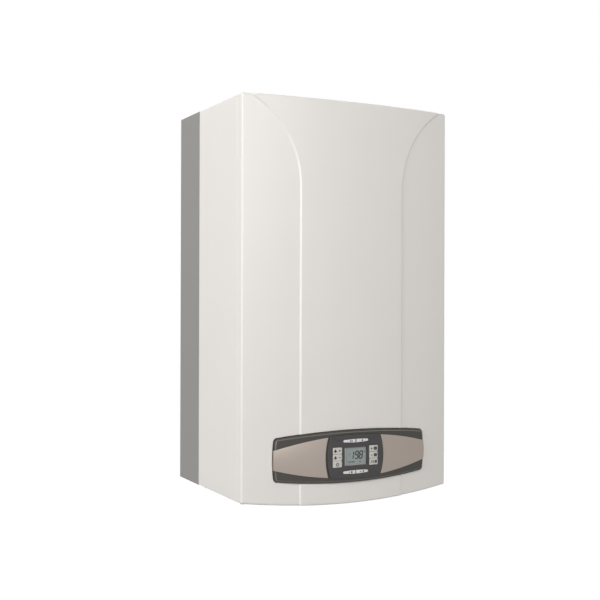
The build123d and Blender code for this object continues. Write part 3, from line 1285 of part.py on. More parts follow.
def combustion_chamber():
    """Steel firebox open above and below, strapped to the sealed chamber's back."""
    z = (FIREBOX_BASE, FIREBOX_TOP)
    box = block(both(FIREBOX_HALF), (FIREBOX_BACK, FIREBOX_FRONT), z)
    inner = (FIREBOX_BACK + CHAMBER_SHEET, FIREBOX_FRONT - CHAMBER_SHEET)
    box -= block(both(FIREBOX_HALF - CHAMBER_SHEET), inner, z)
    strap_depth = (CHAMBER_BACK + CHAMBER_SHEET + FIT, FIREBOX_BACK)
    for side in SIDES:
        strap = beside(side, FIREBOX_HALF - FIREBOX_STRAP, FIREBOX_HALF)
        box += block(strap, strap_depth, around((z[0] + z[1]) / 2, FIREBOX_STRAP / 2))
    for x in ELECTRODE_X:
        box -= rod(electrode_point(x), BACKWARD, ELECTRODE_R + FIT, ELECTRODE_FRONT + 2 * CHAMBER_SHEET)
    return box


def insulation_boards():
    """Four ceramic fibre boards that line the firebox."""
    z = (FIREBOX_BASE, FIREBOX_TOP)
    half = FIREBOX_HALF - CHAMBER_SHEET - FIT
    back = FIREBOX_BACK + CHAMBER_SHEET + FIT
    front = FIREBOX_FRONT - CHAMBER_SHEET - FIT
    boards = [
        block(both(half), (back, back + BOARD_WALL), z),
        block(both(half), (front - BOARD_WALL, front), z),
    ]
    hole_length = ELECTRODE_FRONT + 2 * BOARD_WALL
    for x in ELECTRODE_X:
        boards[1] -= rod(electrode_point(x), BACKWARD, ELECTRODE_R + FIT, hole_length)
    for side in SIDES:
        wall = beside(side, half - BOARD_WALL, half)
        boards.append(block(wall, (back + BOARD_WALL + FIT, front - BOARD_WALL - FIT), z))
    return Compound(children=boards)


def electrode_point(x):
    """Front end of an electrode, outside the firebox."""
    return at(x, FIREBOX_FRONT + ELECTRODE_FRONT, FIREBOX_BASE + ELECTRODE_ABOVE)


def electrodes():
    """Two ignition electrodes and a flame sensor, in ceramic sleeves."""
    rods = []
    length = ELECTRODE_FRONT + CHAMBER_SHEET + FIT + BOARD_WALL + ELECTRODE_INSIDE
    tip_length = length + ELECTRODE_TIP_LENGTH
    for x in ELECTRODE_X:
        sleeve = rod(electrode_point(x), BACKWARD, ELECTRODE_R, length)
        rods.append(sleeve + rod(electrode_point(x), BACKWARD, ELECTRODE_TIP_R, tip_length))
    return Compound(children=rods)


def heat_exchanger():
    """Copper primary exchanger: thin fins on water tubes, with a hollow header at each end."""
    depth = (FIREBOX_BACK, FIREBOX_FRONT)
    z = (EXCHANGER_BASE, EXCHANGER_TOP)
    fin_span = EXCHANGER_HALF - FIN_THICKNESS
    pitch = 2 * fin_span / (FIN_COUNT - 1)
    fin_depth = (depth[0] + FIN_INSET, depth[1] - FIN_INSET)
    fin_z = (z[0], z[1] - FIN_INSET)
    fins = [
        block(around(-fin_span + fin * pitch, FIN_THICKNESS / 2), fin_depth, fin_z)
        for fin in range(FIN_COUNT)
    ]
    middle = (z[0] + z[1]) / 2
    row_pitch = (depth[1] - depth[0]) / WATERWAY_ROWS
    tubes = []
    bores = []
    for row in range(WATERWAY_ROWS):
        row_depth = depth[0] + (row + 0.5) * row_pitch
        tube = at(-EXCHANGER_HALF, row_depth, middle)
        tubes.append(rod(tube, RIGHT, WATERWAY_R, 2 * EXCHANGER_HALF))
        bore = at(-EXCHANGER_HALF - HEADER_WALL, row_depth, middle)
        length = 2 * (EXCHANGER_HALF + HEADER_WALL)
        bores.append(rod(bore, RIGHT, WATERWAY_R - WATERWAY_WALL, length))
    body = fins[0].fuse(*fins[1:], *tubes)
    inside = (depth[0] + HEADER_WALL, depth[1] - HEADER_WALL)
    inside_z = (z[0] + HEADER_WALL, z[1] - HEADER_WALL)
    header_end = EXCHANGER_HALF + HEADER_WIDTH
    for side in SIDES:
        body += block(beside(side, EXCHANGER_HALF, header_end), depth, z)
        hollow = beside(side, EXCHANGER_HALF + HEADER_WALL, header_end - HEADER_WALL)
        body -= block(hollow, inside, inside_z)
        port = at(side * header_end, RISER_DEPTH, middle)
        body -= rod(port, (-side, 0, 0), WATER_PIPE_R - WATER_PIPE_WALL, 2 * HEADER_WALL)
    return body - bores


def smoke_hood():
    """Hood over the exchanger, with a duct up behind the fan to its inlet."""
    depth = (FIREBOX_BACK, FIREBOX_FRONT)
    outer = hood_shape(0, HOOD_BASE, HOOD_TOP)
    inner = hood_shape(HOOD_SHEET, HOOD_BASE, HOOD_TOP - HOOD_SHEET)
    rim = block(both(EXCHANGER_HALF + HEADER_WIDTH), depth, (HOOD_BASE, HOOD_BASE + HOOD_SHEET))
    duct_top = FAN_Z + DUCT_HALF
    duct = block(around(FAN_X, DUCT_HALF), (DUCT_BACK, DUCT_FRONT), (HOOD_TOP - HOOD_SHEET, duct_top))
    inside = (DUCT_BACK + HOOD_SHEET, DUCT_FRONT - HOOD_SHEET)
    shaft_z = (HOOD_TOP - 3 * HOOD_SHEET, duct_top - HOOD_SHEET)
    shaft = block(around(FAN_X, DUCT_HALF - HOOD_SHEET), inside, shaft_z)
    hood = outer + rim + duct - inner - shaft
    return hood - rod(at(FAN_X, DUCT_FRONT, FAN_Z), BACKWARD, FAN_INLET_R, 2 * HOOD_SHEET)


def hood_shape(inset, low, high):
    """Solid that narrows from the exchanger's size to the fan's seat."""
    half = EXCHANGER_HALF - HOOD_RIM - inset
    base_depth = (FIREBOX_BACK + HOOD_RIM + inset, FIREBOX_FRONT - HOOD_RIM - inset)
    top_depth = (DUCT_BACK + inset, HOOD_TOP_FRONT - inset)
    lower = hood_section(half, base_depth, low)
    upper = hood_section(HOOD_TOP_HALF - inset, top_depth, high)
    return loft([lower, upper], ruled=True)


def hood_section(half, depth, z):
    """Rectangle at one level of the hood."""
    size = Rectangle(2 * half, depth[1] - depth[0])
    return Pos(0, -(depth[0] + depth[1]) / 2, z) * size


def fan_housing():
    """Scroll with a foot on the hood and an outlet up to the flue."""
    width = (SCROLL_BACK, SCROLL_FRONT)
    inside = (SCROLL_BACK + SCROLL_SHEET, SCROLL_FRONT - SCROLL_SHEET)
    plate_top = CHAMBER_TOP - OUTLET_PLATE_BELOW
    plate_base = plate_top - OUTLET_PLATE_THICKNESS
    body = rod(at(FAN_X, SCROLL_BACK, FAN_Z), FORWARD, SCROLL_R, SCROLL_WIDTH)
    body += block(both(OUTLET_HALF), width, (FAN_Z, plate_top))
    foot_base = HOOD_TOP + FIT
    body += block(around(FAN_X, FAN_FOOT_HALF), width, (foot_base, foot_base + FAN_FOOT_HEIGHT))
    body += block(both(OUTLET_PLATE_HALF), around(FLUE_DEPTH, OUTLET_PLATE_HALF), (plate_base, plate_top))
    ring_height = OUTLET_PLATE_BELOW - OUTLET_RING_TOP_BELOW
    body += rod(at(0, FLUE_DEPTH, plate_top), UP, EXHAUST_R + EXHAUST_WALL, ring_height)
    hollow_length = SCROLL_WIDTH - 2 * SCROLL_SHEET
    body -= rod(at(FAN_X, inside[0], FAN_Z), FORWARD, SCROLL_R - SCROLL_SHEET, hollow_length)
    body -= block(both(OUTLET_HALF - SCROLL_SHEET), inside, (FAN_Z, plate_top))
    bore = OUTLET_HALF - SCROLL_SHEET
    body -= rod(at(0, FLUE_DEPTH, plate_top), UP, EXHAUST_R - EXHAUST_WALL, ring_height)
    body -= rod(at(0, FLUE_DEPTH, plate_base), UP, min(bore, SCROLL_WIDTH / 2), OUTLET_PLATE_THICKNESS)
    body -= rod(at(FAN_X, SCROLL_BACK, FAN_Z), FORWARD, FAN_INLET_R, SCROLL_SHEET)
    body -= rod(at(FAN_X, SCROLL_FRONT - SCROLL_SHEET, FAN_Z), FORWARD, FAN_SHAFT_HOLE_R, SCROLL_SHEET)
    return body


def fan_motor():
    """Motor on the front of the scroll, with its mounting plate."""
    start = SCROLL_FRONT + FIT
    motor = rod(at(FAN_X, start, FAN_Z), FORWARD, FAN_MOTOR_R, FAN_MOTOR_PLATE)
    motor += rod(at(FAN_X, start, FAN_Z), FORWARD, FAN_MOTOR_R - FAN_MOTOR_RIM, FAN_MOTOR_LENGTH)
    return motor - rod(at(FAN_X, start, FAN_Z), FORWARD, FAN_SHAFT_R + RUN, FAN_MOTOR_SOCKET)


def fan_impeller():
    """Forward-curved fan wheel: back disc, ring of blades, front ring and shaft."""
    front = SCROLL_FRONT - SCROLL_SHEET - FAN_WHEEL_SETBACK
    back = front - FAN_WHEEL_WIDTH
    wheel = rod(at(FAN_X, front, FAN_Z), BACKWARD, FAN_WHEEL_R, FAN_DISC_THICKNESS)
    inner = FAN_WHEEL_R - FAN_BLADE_LENGTH
    wheel += ring(at(FAN_X, back, FAN_Z), FORWARD, FAN_WHEEL_R, inner, FAN_DISC_THICKNESS)
    centre = Pos(*at(FAN_X, (front + back) / 2, FAN_Z))
    blades = []
    blade = Box(FAN_BLADE_LENGTH, FAN_WHEEL_WIDTH, FAN_BLADE_THICKNESS)
    middle_r = FAN_WHEEL_R - FAN_BLADE_LENGTH / 2 - FAN_BLADE_INSET
    tilted = Pos(middle_r, 0, 0) * Rot(0, FAN_BLADE_TILT, 0) * blade
    for turn in range(FAN_BLADES):
        blades.append(centre * Rot(0, turn * 360 / FAN_BLADES, 0) * tilted)
    wheel = wheel.fuse(*blades)
    shaft_start = front - FAN_DISC_THICKNESS
    shaft_end = SCROLL_FRONT + FIT + FAN_MOTOR_SOCKET - SHAFT_END_GAP
    return wheel + rod(at(FAN_X, shaft_start, FAN_Z), FORWARD, FAN_SHAFT_R, shaft_end - shaft_start)


def flue_collar():
    """Concentric collar: exhaust socket inside, air collar outside, ribs between."""
    base = CHAMBER_TOP + FIT
    top = TOP + COLLAR_ABOVE_TOP
    inner_start = CHAMBER_TOP - OUTLET_RING_TOP_BELOW + MOVE
    tube_r = EXHAUST_R + EXHAUST_WALL
    air_r = AIR_COLLAR_R - AIR_COLLAR_WALL
    collar = ring(at(0, FLUE_DEPTH, base), UP, AIR_COLLAR_R, air_r, top - base)
    collar += ring(at(0, FLUE_DEPTH, base), UP, COLLAR_FLANGE_R, air_r, COLLAR_FLANGE_THICKNESS)
    collar += ring(at(0, FLUE_DEPTH, inner_start), UP, tube_r, EXHAUST_R, top - inner_start)
    rib_length = air_r - tube_r + 2 * RIB_BITE
    rib_height = (top - base) / 2
    centre = Pos(0, -FLUE_DEPTH, base + rib_height / 2)
    rib = Box(rib_length, COLLAR_RIB_THICKNESS, rib_height)
    rib = Pos((tube_r + air_r) / 2, 0, 0) * rib
    for turn in range(COLLAR_RIBS):
        collar += centre * Rot(0, 0, 90 + turn * 360 / COLLAR_RIBS) * rib
    return collar


def air_pressure_switch():
    """Round diaphragm switch on the chamber's left wall, with two hose spigots."""
    z = CHAMBER_TOP - SWITCH_BELOW_TOP
    wall = -CHAMBER_HALF + CHAMBER_SHEET + FIT
    body = rod(at(wall, SWITCH_DEPTH, z), RIGHT, SWITCH_BODY_R, SWITCH_BODY_THICKNESS)
    face = wall + SWITCH_BODY_THICKNESS
    plug_depth = around(SWITCH_DEPTH, SWITCH_PLUG_HALF_DEPTH)
    body += block((face, face + SWITCH_PLUG_LENGTH), plug_depth, around(z, SWITCH_PLUG_HALF_Z))
    for row in SIDES:
        start = at(face, SWITCH_DEPTH + row * SWITCH_SPIGOT_SPREAD, z)
        body += rod(start, RIGHT, SWITCH_SPIGOT_R, SWITCH_SPIGOT_LENGTH)
    return body


def sensing_hoses():
    """Two silicone hoses from the pressure switch to the fan's outlet duct."""
    z = CHAMBER_TOP - SWITCH_BELOW_TOP
    face = -CHAMBER_HALF + CHAMBER_SHEET + FIT + SWITCH_BODY_THICKNESS
    start_x = face + HOSE_START
    bend_x = start_x + HOSE_STRAIGHT
    duct_x = -OUTLET_HALF - FIT
    plate_base = CHAMBER_TOP - OUTLET_PLATE_BELOW - OUTLET_PLATE_THICKNESS
    height = plate_base - HOSE_BELOW_PLATE
    hoses = []
    for row in SIDES:
        depth = SWITCH_DEPTH + row * SWITCH_SPIGOT_SPREAD
        target = FLUE_DEPTH + row * HOSE_END_SPREAD
        points = [
            at(start_x, depth, z),
            at(bend_x, depth, z),
            at(bend_x + HOSE_SLANT, depth, height),
            at(duct_x - HOSE_END_RUN, target, height),
            at(duct_x, target, height),
        ]
        hoses.append(bent_tube(points, HOSE_R, HOSE_R - HOSE_WALL, HOSE_BEND_R))
    return Compound(children=hoses)


# Gas side

def gas_valve():
    """Cast body with two round solenoids, above the gas connection."""
    z = (GAS_VALVE_BASE, GAS_VALVE_BASE + GAS_VALVE_HEIGHT)
    solenoid_z = GAS_VALVE_BASE + SOLENOID_R + SOLENOID_ABOVE
    body = block(both(GAS_VALVE_HALF), (GAS_VALVE_BACK, GAS_VALVE_FRONT), z)
    for side in SIDES:
        place = at(side * GAS_VALVE_HALF / 2, GAS_VALVE_FRONT, solenoid_z)
        body += rod(place, FORWARD, SOLENOID_R, SOLENOID_LENGTH)
    inner = GAS_PIPE_R - GAS_PIPE_WALL
    body -= rod(at(0, STUB_DEPTH, GAS_VALVE_BASE), UP, inner, GAS_VALVE_HEIGHT / 2)
    body -= rod(at(0, GAS_VALVE_FRONT, GAS_OUTLET_Z), BACKWARD, inner, GAS_PIPE_R)
    return body


def gas_pipes():
    """Gas inlet pipe, and the feed pipe with its manifold and injectors."""
    inner = GAS_PIPE_R - GAS_PIPE_WALL
    start = PLATE_TOP + FIT
    inlet = ring(at(0, STUB_DEPTH, start), UP, GAS_PIPE_R, inner, GAS_VALVE_BASE - FIT - start)
    feed = bent_tube(
        [
            at(0, GAS_VALVE_FRONT + FIT, GAS_OUTLET_Z),
            at(0, MANIFOLD_DEPTH, GAS_OUTLET_Z),
            at(0, MANIFOLD_DEPTH, INLET_Z - MANIFOLD_R / 2),
        ],
        GAS_PIPE_R, inner, GAS_BEND_R,
    )
    feed += rod(at(-MANIFOLD_HALF, MANIFOLD_DEPTH, INLET_Z), RIGHT, MANIFOLD_R, 2 * MANIFOLD_HALF)
    injector = MANIFOLD_DEPTH - BURNER_FRONT - FIT
    for x in bar_places():
        feed += rod(at(x, MANIFOLD_DEPTH, INLET_Z), BACKWARD, INJECTOR_R, injector)
    return Compound(children=[inlet, feed])


# Control box and its contents

def control_box():
    """Tray behind the panel, open to the rear, on two arms from the pipe bracket."""
    front = BEZEL_BACK - FIT
    z = around(PANEL_Z, BOX_HALF_Z)
    box = block(both(BOX_HALF_X), (BOX_BACK, front), z)
    inner = BOX_HALF_X - BOX_WALL
    box -= block(both(inner), (BOX_BACK, front - BOX_WALL), around(PANEL_Z, BOX_HALF_Z - BOX_WALL))
    for x, z_place in standoff_places():
        box += rod(at(x, front - BOX_WALL, z_place), BACKWARD, STANDOFF_R, STANDOFF_LENGTH)
    arm_z = (PLATE_TOP + FIT, PLATE_TOP + FIT + ARM_THICKNESS)
    for side in SIDES:
        arm = beside(side, BOX_HALF_X - ARM_WIDTH, BOX_HALF_X)
        box += block(arm, (PLATE_DEPTH - ARM_OVERLAP, BOX_BACK + BOX_WALL), arm_z)
    for point in arm_screw_points():
        box -= rod(point, UP, SCREW_R + FIT, 2 * ARM_THICKNESS)
    floor = PANEL_Z - BOX_HALF_Z
    gland = gland_point(floor + BOX_WALL + GLAND_INSIDE)
    box += rod(gland, DOWN, GLAND_R, GLAND_LENGTH)
    box -= rod(gland, DOWN, GLAND_BORE_R, GLAND_LENGTH)
    return box


def gland_point(z):
    """Point on the cable gland's axis, in the control box's floor."""
    return at(GLAND_X, BOX_BACK + GLAND_FORWARD, z)


def standoff_places():
    """X and Z of the four posts that carry the main board."""
    x = MAIN_BOARD_HALF_X - 2 * STANDOFF_R
    z = MAIN_BOARD_HALF_Z - 2 * STANDOFF_R
    return [(side * x, PANEL_Z + row * z) for side in SIDES for row in SIDES]


def control_box_cover():
    """Rear lid of the control box, round the two arms."""
    outer = (BOX_BACK - FIT - BOX_WALL, BOX_BACK - FIT)
    cover = block(both(BOX_HALF_X), outer, around(PANEL_Z, BOX_HALF_Z))
    spigot = around(PANEL_Z, BOX_HALF_Z - BOX_WALL - FIT)
    half = BOX_HALF_X - BOX_WALL - FIT
    spigot_depth = (BOX_BACK - FIT, BOX_BACK + COVER_SPIGOT)
    hollow = around(PANEL_Z, BOX_HALF_Z - 2 * BOX_WALL - FIT)
    cover += block(both(half), spigot_depth, spigot)
    cover -= block(both(half - BOX_WALL), spigot_depth, hollow)
    top = PLATE_TOP + FIT + ARM_THICKNESS + FIT
    for side in SIDES:
        arm = beside(side, BOX_HALF_X - ARM_WIDTH - FIT, BOX_HALF_X)
        cover -= block(arm, (outer[0], spigot_depth[1]), (PANEL_Z - BOX_HALF_Z, top))
    return cover


def main_board():
    """Circuit board with transformer, relays, capacitors and plug connectors."""
    front = BEZEL_BACK - FIT - BOX_WALL - STANDOFF_LENGTH - FIT
    back = front - BOARD_THICKNESS
    board = block(both(MAIN_BOARD_HALF_X), (back, front), around(PANEL_Z, MAIN_BOARD_HALF_Z))
    end = MAIN_BOARD_HALF_X - TRANSFORMER_INSET
    core_z = around(PANEL_Z + TRANSFORMER_INSET, TRANSFORMER_SIZE / 2)
    board += block((end - TRANSFORMER_SIZE, end), (back - TRANSFORMER_REACH, back), core_z)
    relay_z = around(PANEL_Z + RELAY_ABOVE, RELAY_SIZE / 2)
    plug_low = PANEL_Z - MAIN_BOARD_HALF_Z + PLUG_ABOVE_EDGE
    plug_z = (plug_low, plug_low + PLUG_HEIGHT)
    for place in range(BOARD_PARTS):
        relay = RELAY_START + place * RELAY_PITCH
        board += block((relay, relay + RELAY_SIZE), (back - RELAY_SIZE, back), relay_z)
        plug = PLUG_START + place * PLUG_PITCH
        board += block((plug, plug + PLUG_LENGTH), (back - PLUG_REACH, back), plug_z)
        capacitor = at(CAPACITOR_START + place * CAPACITOR_PITCH, back, PANEL_Z + CAPACITOR_ABOVE)
        board += rod(capacitor, BACKWARD, CAPACITOR_R, CAPACITOR_LENGTH)
    return board


# Control panel

def bezel():
    """Dark panel moulding: rim, recesses for the wings and the controller's pocket."""
    depth = (BEZEL_BACK, PANEL_FRONT)
    body = panel_block(BEZEL_BACK, 0, PANEL_SPAN) & wall_slab(bezel_outline(0), depth)
    hollow = panel_block(BEZEL_BACK, -BEZEL_WALL - WING_THICKNESS, PANEL_SPAN)
    hollow &= wall_slab(bezel_outline(-BEZEL_WALL), depth)
    body -= hollow - wall_slab(controller_outline(POCKET_GAP + POCKET_WALL), depth)
    under_wings = panel_block(BEZEL_BACK - CUT_REACH, -WING_THICKNESS - FIT, PANEL_SPAN)
    for side in SIDES:
        body -= wall_slab(wing_outline(side, FIT), depth) - under_wings
    return body - wall_slab(controller_outline(POCKET_GAP), (CONTROLLER_BACK - MOVE, PANEL_FRONT))


def bezel_wings():
    """Two thin metallic inlays that fill the panel's recesses."""
    wings = []
    for side in SIDES:
        shape = wall_slab(wing_outline(side, 0), (BEZEL_BACK, PANEL_FRONT))
        shape &= panel_block(BEZEL_BACK, 0, PANEL_SPAN)
        wings.append(shape - panel_block(BEZEL_BACK - CUT_REACH, -WING_THICKNESS, PANEL_SPAN))
    return Compound(children=wings)


def controller_body():
    """Front shell of the removable controller, with windows for display and keys."""
    depth = (CONTROLLER_BACK, PANEL_FRONT)
    body = wall_slab(controller_outline(0), depth)
    body &= panel_block(CONTROLLER_BACK, CONTROLLER_PROUD, PANEL_SPAN)
    inside = wall_slab(controller_outline(-CONTROLLER_WALL), depth)
    inside &= panel_block(CONTROLLER_BACK, CONTROLLER_PROUD - CONTROLLER_WALL, PANEL_SPAN)
    body -= inside
    window = Pos(0, PANEL_Z) * Rectangle(LCD_WIDTH, LCD_HEIGHT)
    body -= wall_slab(window, depth)
    for side in SIDES:
        column = Rectangle(KEY_WIDTH + 2 * KEY_GAP, 2 * KEY_PITCH + KEY_HEIGHT + 2 * KEY_GAP)
        body -= wall_slab(Pos(side * KEY_X, PANEL_Z + KEY_DROP) * column, depth)
        for level in SIDES:
            body -= wall_slab(strip_outline(side, level, KEY_GAP), depth)
    return body


def controller_back():
    """Rear cover of the controller, with four posts that carry the display board."""
    depth = (CONTROLLER_BACK, CONTROLLER_BACK + CONTROLLER_WALL)
    cover = wall_slab(controller_outline(-CONTROLLER_WALL - FIT), depth)
    length = BOARD_FRONT - BOARD_THICKNESS - FIT - depth[1]
    post_x = BOARD_HALF_X - BOARD_POST_INSET_X
    post_z = BOARD_HALF_Z - BOARD_POST_INSET_Z
    for side in SIDES:
        for row in SIDES:
            post = at(side * post_x, depth[1], PANEL_Z + row * post_z)
            cover += rod(post, FORWARD, BOARD_POST_R, length)
    return cover


def key_places():
    """X and Z of every key's switch."""
    strip_x = (STRIP_SPLIT + STRIP_LENGTH) / 2
    places = []
    for side in SIDES:
        places += [(side * KEY_X, PANEL_Z + KEY_DROP + row * KEY_PITCH) for row in (-1, 0, 1)]
        places += [(side * strip_x, PANEL_Z + level * STRIP_HEIGHT_ABOVE) for level in SIDES]
    return places


def display_board():
    """Circuit board that carries the display glass and a switch behind every key."""
    board_depth = (BOARD_FRONT - BOARD_THICKNESS, BOARD_FRONT)
    board = block(both(BOARD_HALF_X), board_depth, around(PANEL_Z, BOARD_HALF_Z))
    glass_x = both(LCD_WIDTH / 2 + GLASS_MARGIN)
    glass_z = around(PANEL_Z, LCD_HEIGHT / 2 + GLASS_MARGIN)
    board += block(glass_x, (BOARD_FRONT, GLASS_FRONT), glass_z)
    for x, z in key_places():
        board += rod(at(x, BOARD_FRONT, z), FORWARD, SWITCH_R, SWITCH_FRONT - BOARD_FRONT)
    return board


def lcd_lens():
    """Clear window over the display."""
    x = both(LCD_WIDTH / 2 - FIT)
    z = around(PANEL_Z, LCD_HEIGHT / 2 - FIT)
    return block(x, (LENS_FRONT - LENS_THICKNESS, LENS_FRONT), z)


def key_cap(outline, flange, x, z):
    """Key cap through the controller's front, with a flange behind it and a stem."""
    inner = panel_depth(abs(x) + KEY_WIDTH / 2 + KEY_FLANGE, CONTROLLER_PROUD - CONTROLLER_WALL)
    flange_front = inner - FIT
    flange_back = flange_front - KEY_FLANGE_THICKNESS
    cap = wall_slab(outline, (flange_back, PANEL_FRONT))
    cap &= panel_block(CONTROLLER_BACK, CONTROLLER_PROUD + KEY_PROUD, PANEL_SPAN)
    cap += wall_slab(flange, (flange_back, flange_front))
    stem_end = SWITCH_FRONT + KEY_TRAVEL + FIT
    return cap + rod(at(x, flange_back, z), BACKWARD, KEY_STEM_R, flange_back - stem_end)


def rectangular_key(side, row):
    """One of the six rectangular keys beside the display."""
    z = PANEL_Z + KEY_DROP + row * KEY_PITCH
    size = Rectangle(KEY_WIDTH + 2 * KEY_FLANGE, KEY_HEIGHT - 2 * KEY_FLANGE_INSET)
    return key_cap(key_outline(side, row), Pos(side * KEY_X, z) * size, side * KEY_X, z)


def strip_key(side, level):
    """One of the four slim keys above and below the display."""
    x = side * (STRIP_SPLIT + STRIP_LENGTH) / 2
    z = PANEL_Z + level * STRIP_HEIGHT_ABOVE
    size = Rectangle(STRIP_LENGTH - 2 * STRIP_FLANGE_INSET, STRIP_THICKNESS + 2 * KEY_FLANGE)
    return key_cap(strip_outline(side, level, 0), Pos(x, z) * size, x, z)


PIECES = {
    "front_panel": front_panel(),
    "left_side_panel": side_panel(-1),
    "right_side_panel": side_panel(1),
    "cover_screws": cover_screws(),
    "rear_frame": rear_frame(),
    "pipe_bracket": pipe_bracket(),
    "chassis_screws": chassis_screws(),
    "connection_stubs": connection_stubs(),
    "flow_block": flow_block(),
    "diverter_spindle": diverter_spindle(),
    "diverter_actuator": diverter_actuator(),
    "return_block": return_block(),
    "flow_turbine": flow_turbine(),
    "fill_knob": tap_knob(1, FILL_KNOB_R, FILL_KNOB_HEIGHT),
    "drain_knob": tap_knob(-1, DRAIN_KNOB_R, DRAIN_KNOB_HEIGHT),
    "safety_valve": safety_valve(),
    "safety_knob": safety_knob(),
    "plate_heat_exchanger": plate_heat_exchanger(),
    "pump_body": pump_body(),
    "pump_impeller": pump_impeller(),
    "expansion_vessel": expansion_vessel(),
    "water_pipes": water_pipes(),
    "pressure_gauge": pressure_gauge(),
    "gauge_needle": gauge_needle(),
    "sealed_chamber": sealed_chamber(),
    "lid_seal": lid_seal(),
    "chamber_lid": chamber_lid(),
    "burner": burner(),
    "combustion_chamber": combustion_chamber(),
    "insulation_boards": insulation_boards(),
    "electrodes": electrodes(),
    "heat_exchanger": heat_exchanger(),
    "smoke_hood": smoke_hood(),
    "fan_housing": fan_housing(),
    "fan_motor": fan_motor(),
    "fan_impeller": fan_impeller(),
    "flue_collar": flue_collar(),
    "air_pressure_switch": air_pressure_switch(),
    "sensing_hoses": sensing_hoses(),
    "gas_valve": gas_valve(),
    "gas_pipes": gas_pipes(),
    "control_box": control_box(),
    "control_box_cover": control_box_cover(),
    "main_board": main_board(),
    "bezel": bezel(),
    "bezel_wings": bezel_wings(),
    "controller_body": controller_body(),
    "controller_back": controller_back(),
    "display_board": display_board(),
    "lcd_lens": lcd_lens(),
}

for side, side_name in ((-1, "left"), (1, "right")):
    for row, row_name in ((1, "upper"), (0, "middle"), (-1, "lower")):
        PIECES[f"key_{side_name}_{row_name}"] = rectangular_key(side, row)
    for level, level_name in ((1, "top"), (-1, "bottom")):
        PIECES[f"strip_key_{level_name}_{side_name}"] = strip_key(side, level)

for name, piece in PIECES.items():
    export_step(piece, f"parts/{name}.step")
print(len(PIECES), "pieces")
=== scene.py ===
"""Looks for a wall-hung combi boiler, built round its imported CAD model.

Points are worked out in millimetres as (x, depth, z), where depth is the distance from the
wall, and become metres with Y = -depth when they go into a mesh. The origin lies on the wall,
midway between the two hanging holes.
"""
import bmesh
import bpy
import numpy as np
from math import cos, pi, radians, sin, sqrt
from mathutils import Euler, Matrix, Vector


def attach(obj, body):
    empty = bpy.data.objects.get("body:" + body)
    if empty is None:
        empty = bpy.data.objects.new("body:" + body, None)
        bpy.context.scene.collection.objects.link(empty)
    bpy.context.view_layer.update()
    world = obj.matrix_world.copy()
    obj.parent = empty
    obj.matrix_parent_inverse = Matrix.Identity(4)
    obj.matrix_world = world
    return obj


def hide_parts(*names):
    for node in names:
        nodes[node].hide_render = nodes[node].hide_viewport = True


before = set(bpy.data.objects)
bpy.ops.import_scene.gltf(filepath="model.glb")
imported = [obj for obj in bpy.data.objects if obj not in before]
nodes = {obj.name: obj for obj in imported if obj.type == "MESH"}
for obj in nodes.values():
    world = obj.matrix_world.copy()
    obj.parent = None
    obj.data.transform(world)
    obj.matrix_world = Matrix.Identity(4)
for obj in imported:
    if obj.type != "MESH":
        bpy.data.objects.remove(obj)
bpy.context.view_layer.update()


# Rear frame: a shallow tray of folded sheet steel that hangs on two wall screws and carries
# everything else. It is powder coated in a mid grey, with a fine orange peel.

MM = 0.001
SCREEN_GAMMA = 2.2


def add_node(tree, kind, inputs=(), **settings):
    """New shader node with its settings. Each input is linked, or given a constant."""
    made = tree.nodes.new("ShaderNode" + kind)
    for setting, value in settings.items():
        setattr(made, setting, value)
    for socket, value in dict(inputs).items():
        if isinstance(value, bpy.types.NodeSocket):
            tree.links.new(value, made.inputs[socket])
        else:
            made.inputs[socket].default_value = value
    return made


def noise(group, point, scale, share, detail):
    """Noise mask at a share of the group's scale."""
    size = add_node(group, "Math", {0: scale, 1: share}, operation="MULTIPLY").outputs[0]
    texture = add_node(group, "TexNoise", {"Vector": point, "Scale": size, "Detail": detail})
    return texture.outputs["Fac"]


def grain(share, mask_detail, relief_detail):
    """Pattern of two noises: a mask at a share of the scale, and a relief at the scale itself."""
    return lambda group, point, scale: (
        noise(group, point, scale, share, mask_detail), noise(group, point, scale, 1.0, relief_detail))


def skin_pattern(name, draw):
    """Node group that varies a finish: draw gives a mask and a relief over the surface.

    The colour is multiplied by the mask in the share Mottle, and the mask times Spread is
    added to the roughness.
    """
    group = bpy.data.node_groups.new(name, "ShaderNodeTree")
    for way, labels in (("INPUT", ("Colour", "Mottle", "Roughness", "Spread", "Scale")),
                        ("OUTPUT", ("Colour", "Roughness", "Height"))):
        for label in labels:
            kind = "NodeSocketColor" if label == "Colour" else "NodeSocketFloat"
            group.interface.new_socket(label, in_out=way, socket_type=kind)
    given = group.nodes.new("NodeGroupInput").outputs
    result = group.nodes.new("NodeGroupOutput").inputs
    point = add_node(group, "TexCoord").outputs["Object"]
    mask, relief = draw(group, point, given["Scale"])
    tint = add_node(group, "Mix", {"Factor": given["Mottle"], 6: given["Colour"], 7: mask},
                    data_type="RGBA", blend_type="MULTIPLY")
    rough = add_node(group, "Math", {0: mask, 1: given["Spread"], 2: given["Roughness"]},
                     operation="MULTIPLY_ADD")
    group.links.new(tint.outputs[2], result["Colour"])
    group.links.new(rough.outputs[0], result["Roughness"])
    group.links.new(relief, result["Height"])
    return group


